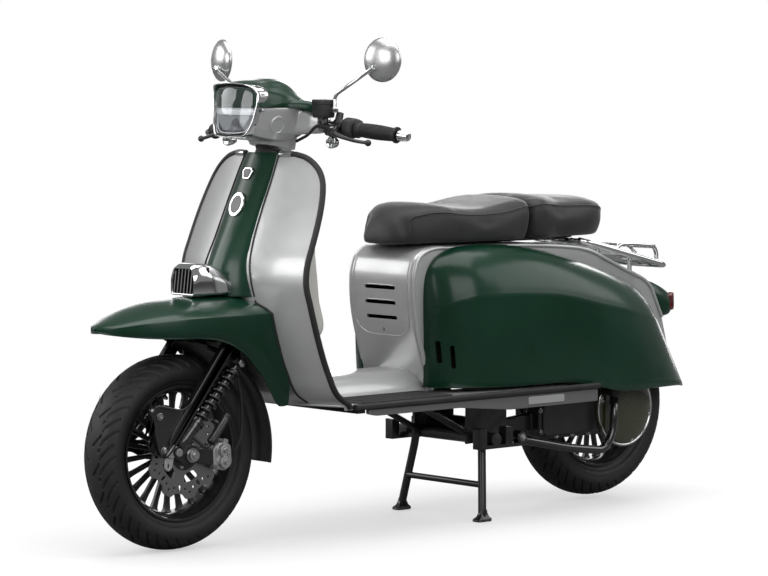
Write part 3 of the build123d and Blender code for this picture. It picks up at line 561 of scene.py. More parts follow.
def repeated(name, blank, spots, finish, body, *nodes, slot=None, scale=1.0, sharp=40):
    """Copies of a blank at each (place, turn), made one plain mesh on one body. The blank is used up."""
    mesh = bpy.data.meshes.new(name)
    mesh.from_pydata([tuple(place) for place, _ in spots], [], [])
    turns = mesh.attributes.new("turn", "FLOAT_VECTOR", "POINT")
    turns.data.foreach_set("vector", [x for _, matrix in spots for x in matrix.to_euler()])
    piece = bpy.data.objects.new(name, mesh)
    bpy.context.scene.collection.objects.link(piece)
    modifier = piece.modifiers.new("repeat", "NODES")
    modifier.node_group = repeat_tree
    given_inputs(modifier, Blank=blank, Scale=float(scale), Finish=finish.material)
    settle(piece, finish, body, *nodes, slot=slot, sharp=sharp)
    bpy.data.objects.remove(blank)
    return piece


fin = made("fin_blank", *grid_mesh([[(x, y, z) for x, y in ((-0.004, -0.0016), (0.0045, -0.0016), (0.006,
    0), (0.0045, 0.0016), (-0.004, 0.0016))] for z in np.linspace(-0.033, 0.033, 6)], wrap=True, cap=True))
spots = [(Vector((front_axle.x - 0.052, n * 0.0122, 0.6285)),
    Matrix.Rotation(math.radians(-7), 3, "Y")) for n in range(-3, 4)]
repeated("horn_grille_fins", fin, spots, chrome, "chassis", slot="chrome")
# Front mudguard: a pressed steel shell bolted to the shield, creased along each side, with a folded lower edge.
# It doesn't steer. A rubber gasket runs where it meets the shield, and inside it is black.
guard_line = (
    (212, 3, 522, 528, 530), (206, 24, 519, 529, 534), (196, 40, 517, 531, 539), (176, 62, 514, 535, 547),
    (150, 84, 511, 540, 557), (110, 108, 508, 545, 571), (60, 126, 506, 549, 583),
    (0, 136, 504, 551, 589), (-56, 139, 494, 552, 592), (-96, 139.5, 477, 552, 592),
    (-131, 140, 452, 552, 592),
    (-155, 140, 427, 552, 592), (-175, 140, 404, 552, 592), (-193, 140, 378, 552, 592),
    (-222, 140, 334, 552, 592), (-250, 140, 334, 552, 592),
)
sides, tops = [], []
for dx, half, low, edge, top in guard_line:
    x = front_axle.x + dx * 0.001
    sides.append([(x, half * 0.001, z * 0.001) for z in (low, low + (edge - low) * 0.25,
        low + (edge - low) * 0.6, edge)])
    side_bow = [0, 0.0012, 0.0015, 0]
    sides[-1] = [(p[0], p[1] + b * min(1, half / 100) - (0.004 if k == 0 else 0) * min(1, half / 100),
        p[2]) for k, (p, b) in enumerate(zip(sides[-1], side_bow))]
    up = top - edge
    tops.append([(x, y * 0.001, z * 0.001) for y,
        z in ((half, edge), (half * 0.9, edge + up * 0.25), (half * 0.7, edge + up * 0.56),
        (half * 0.42, edge + up * 0.84), (half * 0.2, edge + up * 0.965), (0, top))])
sides, tops = fair(sides, 110), fair(tops, 110)
half_rows = []
for side, top in zip(sides, tops):
    lower = fair([[tuple(p)] for p in side], 12)[:, 0]
    upper = fair([[tuple(p)] for p in top], 22)[:, 0]
    half_rows.append(np.concatenate([lower, upper[1:]]))
rows = []
for row in half_rows:
    row = np.array(row)
    other = row[::-1][1:] * (1, -1, 1)
    whole = np.concatenate([row, other])
    limit = shield_x(whole[:, 1], whole[:, 2]) + 0.0004
    whole[:, 0] = np.maximum(whole[:, 0], limit)
    rows.append(whole)
guard = made("front_mudguard_shell", *grid_mesh(rows))
thicken(guard, 0.003)
ease(guard, 0.0009)
settle(guard, green, "chassis", "front_mudguard", slot="body_green", sharp=18)
for side, hand in ((1, "left"), (-1, "right")):
    seam = [(shield_x(0.14, z) + 0.0012, side * 0.1412, z) for z in np.linspace(0.336, 0.552, 30)]
    top_run = [(shield_x(y, z) + 0.0012, side * y, z) for y,
        z in ((0.128, 0.5625), (0.1, 0.5755), (0.098, 0.5815))]
    settle(pipe("mudguard_gasket_" + hand, seam + top_run, 0.0027, 8), rubber, "chassis",
        slot="black_rubber")
    lip = [row[0] * (1, side, 1) for row in rows if row[0][0] > shield_x(row[0][1], row[0][2]) + 0.001]
    settle(pipe("mudguard_lip_" + hand, [Vector(p) + Vector((0, -side * 0.0016, 0.0004)) for p in lip[::2]],
        0.0024, 8), green, "chassis", slot="body_green")

# Inner mudguard: moulded black plastic that turns with the fork over the wheel and ends in a long flap behind it.
# Its edges are rolled and its back has two stiffening ribs.
guard_rows = []
for turn in np.radians(np.linspace(104, 189, 60)):
    r = 0.2595
    ridge = []
    for y, lift in ((-0.068, -0.012), (-0.0665, -0.004), (-0.06, 0.0), (-0.03, 0.0022), (-0.018, 0.0035),
        (-0.012, 0.0015), (0.012, 0.0015), (0.018, 0.0035), (0.03, 0.0022), (0.06, 0.0), (0.0665, -0.004),
        (0.068, -0.012)):
        ridge.append((front_axle.x + (r + lift) * math.cos(turn), y,
            front_axle.z + (r + lift) * math.sin(turn)))
    guard_rows.append(ridge)
flap = made("inner_mudguard", *grid_mesh(guard_rows))
thicken(flap, 0.0026, 0.0)
ease(flap, 0.0008)
settle(flap, moulded, "steering", "inner_guard", slot="black_plastic")

# Glovebox: a cream moulded cover behind the shield with soft corners, and a flat door hinged along its foot.
# The door has a rounded outline, a raised field and a small chrome lock with a turned finger ring.
cream = Finish("cream_gloss", (0.56, 0.55, 0.515), 0.3, coat=0.7)
cream.vary((0.52, 0.505, 0.46), 0.26, 0.38, 5.0)
cream.bump(cream.noise(70.0, 1.0), 0.0002, 0.15)
glove_rows = []
for z, back, half in ((447, -272, 138), (453, -286, 148), (470, -312, 156), (500, -350, 160),
    (580, -341.5, 160), (680, -330.7, 160), (760, -322, 158), (784, -308, 152), (795, -290, 142)):
    flat = [(-205, half), (-232, half), (back + 34, half), (back + 14, half - 5), (back + 4, half - 17),
        (back, half - 34), (back, half * 0.45), (back, 0)]
    flat[0] = (max(-205, back + 60), half)
    flat[1] = (max(-232, back + 48), half)
    glove_rows.append([(front_axle.x + x * 0.001, y * 0.001, z * 0.001) for x, y in flat])
glove_rows = np.array(glove_rows)
fine = fair(glove_rows, 70)
rows = []
for row in fine:
    curve = fair([[tuple(p)] for p in row], 44)[:, 0]
    whole = np.concatenate([curve, curve[::-1][1:] * (1, -1, 1)])
    limit = shield_x(whole[:, 1], np.clip(whole[:, 2], 0.34, 0.92)) - 0.006
    whole[:, 0] = np.minimum(whole[:, 0], limit)
    rows.append(whole)
rows = np.array(rows)
mouth_lo, mouth_hi, mouth_half = 0.522, 0.738, 0.108
verts, faces = grid_mesh(rows)
kept = []
for face in faces:
    centre = verts[list(face)].mean(0)
    if not (mouth_lo < centre[2] < mouth_hi and abs(centre[1]) < mouth_half and centre[
        0] < front_axle.x - 0.3):
        kept.append(face)
cover = made("glovebox_cover", verts, kept)
thicken(cover, 0.003)
ease(cover, 0.0008)
settle(cover, cream, "chassis", slot="cover_cream")
dress("glovebox", cream, 0.0008)
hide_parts("glovebox")

lid_lo, lid_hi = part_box("glovebox_lid")
slope = (lid_hi.x - lid_lo.x - 0.004) / (lid_hi.z - lid_lo.z)
lid_out = Vector((-1, 0, slope))
lid_mid = Vector(((lid_lo.x + lid_hi.x) / 2 + 0.0002, 0, (lid_lo.z + lid_hi.z) / 2))
tall, wide = (lid_hi.z - lid_lo.z) / 2, (lid_hi.y - lid_lo.y) / 2
board = rounded([(-wide, -tall), (wide, -tall), (wide, tall), (-wide, tall)], 0.024, 8)
lid = stood(cutout("glovebox_door", [board], 0.0038, 0.0014), facing(lid_mid, lid_out))
settle(lid, cream, "glove_lid", "glovebox_lid", slot="cover_cream")
field = rounded([(-wide + 0.018, -tall + 0.018), (wide - 0.018, -tall + 0.018),
    (wide - 0.018, tall - 0.018), (-wide + 0.018, tall - 0.018)], 0.016, 8)
settle(stood(cutout("glovebox_door_field", [field], 0.003, 0.0012),
    facing(lid_mid + lid_out.normalized() * 0.0022, lid_out)), cream, "glove_lid", slot="cover_cream")


def turned(name, profile, origin, axis, steps=48, start=0.0):
    """A shape turned on a lathe: profile is (distance along the axis, radius)."""
    frame_here = facing(origin, axis, (0, 0, 1) if abs(Vector(axis).normalized().z) < 0.9 else (1, 0, 0))
    rows = []
    for a in np.linspace(start, start + 2 * math.pi, steps, endpoint=False):
        rows.append([tuple(frame_here @ Vector((r * math.cos(a), r * math.sin(a), d))) for d, r in profile])
    rows.append(rows[0])
    return made(name, *grid_mesh(rows))


lock = lid_mid + lid_out.normalized() * 0.0032 + Vector((slope * 0.085, 0, 0.085))
settle(turned("glovebox_lock", [(-0.002, 0), (-0.002, 0.012), (0.0015, 0.012), (0.0025, 0.0108), (0.0028,
    0.0075), (0.0008, 0.0068), (0.0008, 0.0)], lock, lid_out, 32), chrome, "glove_lid", slot="chrome")

# Floor: a silver painted pressing with a hollow middle tunnel, ribbed rubber mats, black edge rails and grey skirts.
# The tunnel rises to meet the shield in front and the body behind. Each skirt carries a blank light plate.
pan_lo, pan_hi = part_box("floor_pan")
tunnel = [(0.2345, 0.3205), (0.2348, 0.3312), (0.226, 0.332), (0.17, 0.332), (0.122, 0.332),
    (0.106, 0.3335), (0.097, 0.3395), (0.09, 0.352), (0.078, 0.368), (0.058, 0.381), (0.03, 0.3855),
    (0.0, 0.386)]
half_run = np.concatenate([fair([[(y, z)] for y, z in tunnel[:3]], 6)[:, 0],
    fair([[(y, z)] for y, z in tunnel[2:]], 40)[1:, 0]])
profile = np.concatenate([half_run, half_run[::-1][1:] * (-1, 1)])
rows = []
for t in np.linspace(0, 1, 60):
    row = []
    for y, z in profile:
        x_end = shield_x(y, max(z, 0.34)) - 0.0055
        x_start = rear_axle.x + 0.668 if abs(y) < 0.1145 else rear_axle.x + 0.3
        x = x_start + (x_end - x_start) * t
        swell = 0.0
        if z > 0.334 and x > front_axle.x - 0.42:
            swell = 0.018 * ((x - front_axle.x + 0.42) / 0.13) ** 2 * (z - 0.334) / 0.05
        row.append((x, y, z + swell))
    rows.append(row)
pan = made("floor_pressing", *grid_mesh(rows), turn_out=False)
if pan.data.polygons[len(pan.data.polygons) // 2].normal.z < 0:
    pan.data.flip_normals()
thicken(pan, 0.003)
ease(pan, 0.0008)
settle(pan, silver, "chassis", "floor_pan", slot="silver", sharp=30)
mat_lo, mat_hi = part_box("floor_mats")
for side, hand in ((1, "left"), (-1, "right")):
    near, far = 0.1, 0.226
    outline = rounded([(mat_lo.x, side * near), (mat_hi.x - 0.02, side * near),
        (mat_hi.x - 0.002, side * (near + 0.03)), (mat_hi.x - 0.012, side * far),
        (mat_lo.x, side * far)][::side], 0.012)
    sheet = stood(cutout("floor_mat_" + hand, [outline], 0.0026, 0.0008),
        Matrix.Translation((0, 0, mat_lo.z + 0.0015)))
    settle(sheet, rubber, "chassis", *(["floor_mats"] if side > 0 else []), slot="black_rubber")
    bar = pipe("rib_blank", [(mat_lo.x + 0.012, 0, 0), ((mat_lo.x + mat_hi.x) / 2, 0, 0), (mat_hi.x - 0.03,
        0, 0)], 0.0026, 8)
    spots = [(Vector((0, side * (near + 0.012 + n * 0.0103), mat_lo.z + 0.0022)),
        Matrix.Identity(3)) for n in range(11)]
    repeated("floor_mat_ribs_" + hand, bar, spots, rubber, "chassis", slot="black_rubber")
rail_lo, rail_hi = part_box("edge_rails")
for side, hand in ((1, "left"), (-1, "right")):
    near, far = 0.2355, rail_hi.y
    section = rounded([(near, rail_lo.z), (far, rail_lo.z), (far, rail_hi.z), (near, rail_hi.z)], 0.005, 5)
    rows = [[(x, side * y, z) for y, z in section] for x in (rail_lo.x, rail_lo.x + 0.002,
        rail_hi.x - 0.002, rail_hi.x)]
    for k in (0, -1):
        mid = np.mean(rows[k], 0)
        rows[k] = [tuple(mid + (np.array(p) - mid) * 0.82) for p in rows[k]]
    settle(made("edge_rail_" + hand, *grid_mesh(rows, wrap=True, cap=True)), rubber, "chassis",
        *(["edge_rails"] if side > 0 else []), slot="black_rubber")
skirt_grey = Finish("skirt_grey", (0.185, 0.187, 0.19), 0.36, metal=0.35, coat=0.4)
skirt_grey.vary((0.16, 0.162, 0.166), 0.3, 0.45, 8.0)
skirt_lo, skirt_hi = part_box("side_skirts")
ax, bx = rear_axle.x, front_axle.x
line = [(ax + 0.215, 0.288), (ax + 0.523, 0.287), (ax + 0.69, 0.303), (bx - 0.43, 0.303),
    (bx - 0.405, 0.3085), (bx - 0.405, 0.3195), (ax + 0.215, 0.3195)]
for side, hand in ((1, "left"), (-1, "right")):
    spin = Matrix(((1, 0, 0, 0), (0, 0, side, side * 0.241), (0, 1, 0, 0), (0, 0, 0, 1)))
    settle(stood(cutout("side_skirt_" + hand, [rounded(line, 0.004, 4)], 0.0115, 0.0016), spin), skirt_grey,
        "chassis", *(["side_skirts"] if side > 0 else []), slot="skirt_grey")
    plate = rounded([(ax + 0.336, 0.2955), (ax + 0.46, 0.2955), (ax + 0.46, 0.314), (ax + 0.336, 0.314)],
        0.0035, 5)
    pale = silver
    spin = Matrix(((1, 0, 0, 0), (0, 0, side, side * 0.2472), (0, 1, 0, 0), (0, 0, 0, 1)))
    settle(stood(cutout("skirt_plate_" + hand, [plate], 0.003, 0.0008), spin), pale, "chassis",
        slot="silver")
# Rear body: the silver middle pressing that carries the seat, with rolled shoulders, three louvres and an inset front cover.
# A rolled bead follows the side panels' edge from the floor over the top to the tail.
body_line = (
    (668, 334), (684, 372), (700, 425), (716, 478), (727, 530), (731, 580), (728, 630), (716, 660),
    (694, 679), (660, 689), (600, 690), (480, 690), (390, 688),
    (300, 685), (210, 679), (150, 673), (101, 662), (50, 643), (-10, 621), (-45, 608), (-90, 594),
    (-130, 577), (-155, 557), (-170, 531), (-185, 502), (-201, 470), (-213, 430), (-224, 388), (-238, 335),
)
spine = fair([[(rear_axle.x + x * 0.001, 0, z * 0.001)] for x, z in body_line], 260)[:, 0]
plan = ((-0.26, 0.076), (-0.094, 0.08), (-0.03, 0.092), (0.07, 0.108), (0.2, 0.116), (0.6, 0.1165),
    (0.76, 0.1165))
rows = []
for i, here in enumerate(spine):
    ahead = spine[min(i + 1, len(spine) - 1)] - spine[max(i - 1, 0)]
    inward = np.array([ahead[2], 0, -ahead[0]])
    inward /= -np.linalg.norm(inward)
    half = np.interp(here[0] - rear_axle.x, [p[0] for p in plan], [p[1] for p in plan])
    curl = 0.011
    cut = [(half, 0.055), (half, 0.03), (half, curl)]
    for a in np.radians((20, 45, 70, 90)):
        cut.append((half - curl + curl * math.cos(a), curl - curl * math.sin(a)))
    cut += [(half * 0.72, -0.0006), (half * 0.4, -0.0014), (0, -0.0016)]
    row = [here + inward * deep + np.array([0, y, 0]) for y, deep in cut]
    rows.append(row + [p * (1, -1, 1) for p in row[::-1][1:]])
shell = made("rear_body_shell", *grid_mesh(rows), turn_out=False)
centre_face = min(shell.data.polygons, key=lambda f: (Vector(f.center) - Vector((rear_axle.x + 0.48, 0,
    0.69))).length)
if centre_face.normal.z < 0:
    shell.data.flip_normals()
thicken(shell, 0.003)
cutters = []
front_x = rear_axle.x + 0.73
for k, z in enumerate((0.513, 0.55, 0.587)):
    loop = rounded([(-0.056, -0.0045), (0.056, -0.0045), (0.056, 0.0045), (-0.056, 0.0045)], 0.0044, 5)
    cutters.append(stood(cutout("louvre_cut", [loop], 0.06), facing((front_x, 0, z), (1, 0, 0))))
lift = made("hatch_cut", [(rear_axle.x + x, y, z) for x in (0.3955, 0.6545) for y in (-0.086,
    0.086) for z in (0.62, 0.75)], [(0, 1, 3, 2), (4, 6, 7, 5), (0, 4, 5, 1), (2, 3, 7, 6), (0, 2, 6, 4),
    (1, 5, 7, 3)])
cutters.append(lift)
for cutter in cutters:
    hole = shell.modifiers.new("hole", "BOOLEAN")
    hole.object = cutter
    hole.operation = "DIFFERENCE"
    hole.solver = "EXACT"
settle(shell, silver, "chassis", "rear_body", slot="silver", sharp=35)
for cutter in cutters:
    bpy.data.objects.remove(cutter)
lip = pipe("louvre_blank", [(0, y, 0.0055 + 0.0012 * (1 - (y / 0.058) ** 2)) for y in np.linspace(-0.058,
    0.058, 9)], [0.0008] + [0.0021] * 7 + [0.0008], 10)
louvre_x = [float(np.interp(z, spine[:110, 2], spine[:110, 0])) for z in (0.513, 0.55, 0.587)]
repeated("louvre_lips", lip, [(Vector((x + 0.0006, 0, z)), Matrix.Identity(3)) for x, z in zip(louvre_x,
    (0.513, 0.55, 0.587))], silver, "chassis", slot="silver")
low_front = spine[:110]


def body_x(z):
    return float(np.interp(z, low_front[:, 2], low_front[:, 0]))


line = [(-0.1, 0.655), (-0.1, 0.52), (-0.094, 0.485), (-0.06, 0.468), (0.06, 0.468), (0.094, 0.485),
    (0.1, 0.52), (0.1, 0.655)]
path = bent([(0, y, z) for y, z in line], 0.03, 8)
dense = []
for a, b in zip(path, path[1:]):
    dense += [a.lerp(b, t) for t in np.linspace(0, 1, 6, endpoint=False)]
dense.append(path[-1])
settle(pipe("front_cover_joint", [(body_x(p.z) + 0.0008, p.y, p.z) for p in dense], 0.0015, 8), silver,
    "chassis", slot="silver")
settle(turned("front_cover_screw", [(-0.002, 0), (-0.002, 0.0042), (0.0006, 0.0042), (0.0012, 0.0034),
    (0.0006, 0.0022), (-0.0004, 0.0018), (-0.0004, 0.0)], (body_x(0.482) + 0.0012, 0, 0.482), (1, 0, -0.2),
    24), enamel, "chassis", slot="frame_black")
for side, hand in ((1, "left"), (-1, "right")):
    path = []
    for i in range(0, 236, 2):
        here = spine[i]
        half = np.interp(here[0] - rear_axle.x, [p[0] for p in plan], [p[1] for p in plan])
        ahead = spine[min(i + 1, 259)] - spine[max(i - 1, 0)]
        inward = np.array([ahead[2], 0, -ahead[0]])
        inward /= -np.linalg.norm(inward)
        path.append(here + inward * 0.0065 + np.array([0, side * (half - 0.0005), 0]))
    settle(pipe("body_bead_" + hand, path, 0.0052, 14), silver, "chassis", slot="silver")
tray = made("seat_latch_plate", *grid_mesh([[(rear_axle.x + x, y, 0.6895) for y in (-0.05,
    0.05)] for x in (0.34, 0.38)]))
thicken(tray, 0.002)
settle(tray, enamel, "chassis", slot="frame_black")

# Side panels: deep green pressings that clip over the rear body, creased at mid height, with two slots by the front edge.
# Their lower edges are folded in. The left one stops above the drive unit.
panel_line = (
    (690, 343, 694, 566, 113, 117), (687, 343, 692, 592, 113.5, 130), (681, 343, 687, 618, 114, 143),
    (671, 343, 677, 640, 115, 160), (650, 342, 657, 661, 117, 181), (600, 341, 615, 681, 121, 206),
    (530, 340, 552, 688, 126, 222),
    (450, 339, 492, 688, 131, 230), (280, 336, 360, 675, 133, 236), (100, 303, 210, 644, 130, 231),
    (-50, 300, 70, 604, 118, 208),
    (-170, 295, -30, 571, 101, 166), (-225, 289, -72, 555, 91, 130), (-250, 285, -90, 545, 87, 110),
    (-266, 283, -100, 540, 82, 86),
)
ribs = []
for xb, zb, xt, zt, half_top, half in panel_line:
    low = np.array((rear_axle.x + xb * 0.001, 0, zb * 0.001))
    high = np.array((rear_axle.x + xt * 0.001, 0, zt * 0.001))
    height = np.linalg.norm(high - low) * 1000
    knee = height * 0.66
    top_turn = math.radians(74)
    flat = []
    for a in np.linspace(0, top_turn, 9):
        flat.append((half_top + (half - half_top) * math.sin(a) / math.sin(top_turn),
            knee + (height - knee) * (math.cos(a) - math.cos(top_turn)) / (1 - math.cos(top_turn))))
    flat = [(half_top, height - 7), (half_top + 0.5, height - 2.5)] + [(y + (1.5 if k == 0 else 0),
        z) for k, (y, z) in enumerate(flat)]
    lower = [(half, knee), (half + 0.3, height * 0.5), (half - 0.8, height * 0.3), (half - 3, height * 0.1),
        (half - 5, height * 0.02), (half - 7.5, 0), (half - 11, 0.5)]
    ribs.append(([low + (high - low) * z / height + np.array((0, y * 0.001, 0)) for y, z in flat],
        [low + (high - low) * z / height + np.array((0, y * 0.001, 0)) for y, z in lower]))
uppers = fair([r[0] for r in ribs], 150)
lowers = fair([r[1] for r in ribs], 150)
rows = []
for upper, lower in zip(uppers, lowers):
    rows.append(np.concatenate([fair([[tuple(p)] for p in upper], 40)[:, 0],
        fair([[tuple(p)] for p in lower], 34)[1:, 0]]))
rows = np.array(rows)
for side, hand in ((1, "left"), (-1, "right")):
    verts, faces = grid_mesh(rows * (1, side, 1))
    panel = made("side_panel_skin_" + hand, verts, faces, turn_out=False)
    middle = min(panel.data.polygons, key=lambda f: (Vector(f.center) - Vector((rear_axle.x + 0.3,
        side * 0.23, 0.45))).length)
    if middle.normal.y * side < 0:
        panel.data.flip_normals()
    thicken(panel, 0.0035)
    cutters = []
    for x, z, long in ((0.675, 0.432, 0.055), (0.65, 0.42, 0.057)):
        loop = rounded([(-0.0055, -long / 2), (0.0055, -long / 2), (0.0055, long / 2), (-0.0055, long / 2)],
            0.0054, 6)
        cutters.append(stood(cutout("slot_cut", [loop], 0.06),
            facing((rear_axle.x + x, side * (0.84 - x) * 0.92, z), (0.35, side, 0), (0.1, 0, 1))))
    for cutter in cutters:
        hole = panel.modifiers.new("hole", "BOOLEAN")
        hole.object = cutter
        hole.operation = "DIFFERENCE"
        hole.solver = "EXACT"
        hole.use_self = True
    settle(panel, green, "chassis", "side_panel_" + hand, slot="body_green", sharp=30)
    for cutter in cutters:
        bpy.data.objects.remove(cutter)
    seal = [p * (1, side, 1) + np.array((0, -side * 0.003, 0)) for p in rows[0:150:3, 0]]
    settle(pipe("panel_seal_" + hand, seal, 0.0019, 8), rubber, "chassis", slot="black_rubber")
    # A near-black sheet behind the slots is painted shade: it stands for the shadow inside the panel, seen through the
    # slots.
    back = made("panel_slot_liner_" + hand, [(rear_axle.x + x, side * y, z) for x, y, z in ((0.63, 0.15,
        0.385), (0.683, 0.112, 0.385), (0.683, 0.112, 0.465), (0.63, 0.15, 0.465))], [(0, 1, 2, 3)])
    thicken(back, 0.002)
    settle(back, painted_shade, "chassis", slot="black_plastic")

# Tail: a green housing behind the body with a wide red moulded lens in a dark bezel.
# The lens has fine upright prisms inside and a glossy face.
sections = []
for x, half, low, top in ((-120, 48, 490, 582), (-150, 52, 480, 578), (-180, 54, 473, 569),
    (-215, 54, 469, 557), (-240, 51, 469, 546), (-258, 46, 471, 538), (-276, 34, 474, 533)):
    shape = rounded([(-half, low), (-half * 1.02, low + (top - low) * 0.62), (-half * 0.74, top),
        (half * 0.74, top), (half * 1.02, low + (top - low) * 0.62), (half, low)], 13, 7)
    sections.append([(rear_axle.x + x * 0.001, y * 0.001, z * 0.001) for y, z in shape])
housing = made("tail_lamp_housing", *grid_mesh(fair(sections, 40), wrap=True, cap=True))
ease(housing, 0.002, 3)
settle(housing, green, "chassis", "tail_housing", slot="body_green")
lens_lo, lens_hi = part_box("tail_lens")
lamp_red = Finish("lamp_red", (0.16, 0.004, 0.006), 0.16, coat=1.0, transmission_weight=0.25)
lamp_red.feed("Base Color", lamp_red.blend(lamp_red.band(lamp_red.node("ShaderNodeTexWave",
    {"bands_direction": "Y"}, {"Vector": lamp_red.place, "Scale": 70.0}), 0.2, 0.8),
    (0.09, 0.002, 0.003, 1), (0.24, 0.008, 0.01, 1)))
tall = (lens_hi.z - lens_lo.z) / 2
mid = (lens_lo + lens_hi) / 2
sections = []
for deep, s in ((-0.012, 0.94), (-0.003, 1.0), (0.006, 0.99), (0.0105, 0.93), (0.0125, 0.8), (0.013, 0.5),
    (0.013, 0.02)):
    ring_pts = rounded([(-0.047, -tall), (0.047, -tall), (0.044, tall), (-0.044, tall)], 0.012, 6)
    sections.append([(rear_axle.x - 0.2855 - deep + 0.0215 * (abs(y * s) / 0.047) ** 2, y * s,
        mid.z + 0.002 + z * s) for y, z in ring_pts])
settle(made("tail_lamp_lens", *grid_mesh(sections, wrap=True, cap=True)), lamp_red, "chassis", "tail_lens",
    slot="lens_red")
# Seats: moulded foam on a hinged base, covered in matt dark vinyl, with a rider's saddle and a narrower rear pad.
# Each cover is one top panel and a side band, sewn with a welted seam that runs round the upper edge.
vinyl = Finish("seat_vinyl", (0.021, 0.021, 0.022), 0.46, sheen_weight=0.12, specular_ior_level=0.42)
vinyl.even("Sheen Roughness", 0.45)
grain = vinyl.node("ShaderNodeTexVoronoi", {"feature": "DISTANCE_TO_EDGE"},
    {"Vector": vinyl.place, "Scale": 420.0})
vinyl.vary((0.028, 0.028, 0.029), 0.4, 0.54, 9.0)
vinyl.bump(vinyl.band(grain, 0.0, 0.12), 0.00022, 0.55)
vinyl.bump(vinyl.noise(60.0, 3.0), 0.0006, 0.25)
thread = Finish("seat_thread", (0.02, 0.02, 0.021), 0.7)
thread.bump(thread.node("ShaderNodeTexWave", {"bands_direction": "DIAGONAL"},
    {"Vector": thread.place, "Scale": 900.0}), 0.0001)


def swollen(piece, cap):
    """The cover filled with foam: a short cloth run with pressure, its movement capped, then smoothed."""
    remesh = piece.modifiers.new("cells", "REMESH")
    remesh.mode = "VOXEL"
    remesh.voxel_size = 0.005
    mesh = bpy.data.meshes.new_from_object(piece.evaluated_get(bpy.context.evaluated_depsgraph_get()))
    piece.modifiers.clear()
    piece.data = mesh
    rest = np.array([v.co for v in mesh.vertices])
    held = piece.vertex_groups.new(name="held")
    floor_z = rest[:, 2].min()
    held.add([i for i, p in enumerate(rest) if p[2] < floor_z + 0.006], 1.0, "ADD")
    cloth = piece.modifiers.new("foam", "CLOTH")
    cloth.settings.quality = 5
    cloth.settings.mass = 0.4
    cloth.settings.tension_stiffness = 25
    cloth.settings.compression_stiffness = 25
    cloth.settings.bending_stiffness = 2.5
    cloth.settings.use_pressure = True
    cloth.settings.uniform_pressure_force = 2.5
    cloth.settings.vertex_group_mass = "held"
    cloth.settings.effector_weights.gravity = 0
    cloth.point_cache.frame_start = 1
    cloth.point_cache.frame_end = 20
    scene = bpy.context.scene
    for step in range(1, 21):
        scene.frame_set(step)
    moved = piece.evaluated_get(bpy.context.evaluated_depsgraph_get())
    there = np.array([v.co for v in moved.data.vertices])
    piece.modifiers.clear()
    scene.frame_set(1)
    shift = there - rest
    long = np.linalg.norm(shift, axis=1, keepdims=True)
    shift *= np.minimum(1, cap / np.maximum(long, 1e-9))
    rest = rest + shift
    mesh.vertices.foreach_set("co", rest.ravel())
    piece.vertex_groups.clear()
    soft = piece.modifiers.new("even", "SMOOTH")
    soft.iterations = 16
    soft.factor = 0.5
    fine = piece.modifiers.new("fine", "SUBSURF")
    fine.levels = fine.render_levels = 1
    return piece


rider_line = (
    (744, 32, 694, 706, 714, 0.8, 0.9), (739, 54, 693, 722, 733, 0.85, 1.0),
    (727, 72, 693, 743, 757, 0.88, 1.0), (713, 82, 693, 757, 772, 0.9, 1.0),
    (700, 97, 694, 764, 780, 0.92, 0.7), (682, 110, 695, 770, 787, 0.92, 0.5),
    (660, 123, 696, 775, 791, 0.92, 0.3), (630, 137, 697, 776, 791, 0.94, 0.1),
    (590, 146, 697, 771, 784, 0.95),
    (520, 149, 697, 768, 779, 0.95), (433, 149, 697, 773, 793, 0.95), (385, 146, 697, 781, 801, 0.94),
    (356, 140, 698, 785, 803, 0.9), (345, 131, 702, 781, 799, 0.84),
)
pillion_line = (
    (336, 128, 701, 781, 799, 0.84), (326, 137, 698, 785, 802, 0.9), (223, 130, 697, 782, 800, 0.9),
    (140, 122, 697, 780, 797, 0.88), (100, 116, 697, 778, 795, 0.86),
    (70, 104, 697, 775, 791, 0.84), (45, 86, 698, 770, 785, 0.8), (22, 62, 700, 761, 774, 0.72),
    (8, 42, 705, 750, 761, 0.66), (0, 28, 713, 738, 745, 0.6),
)
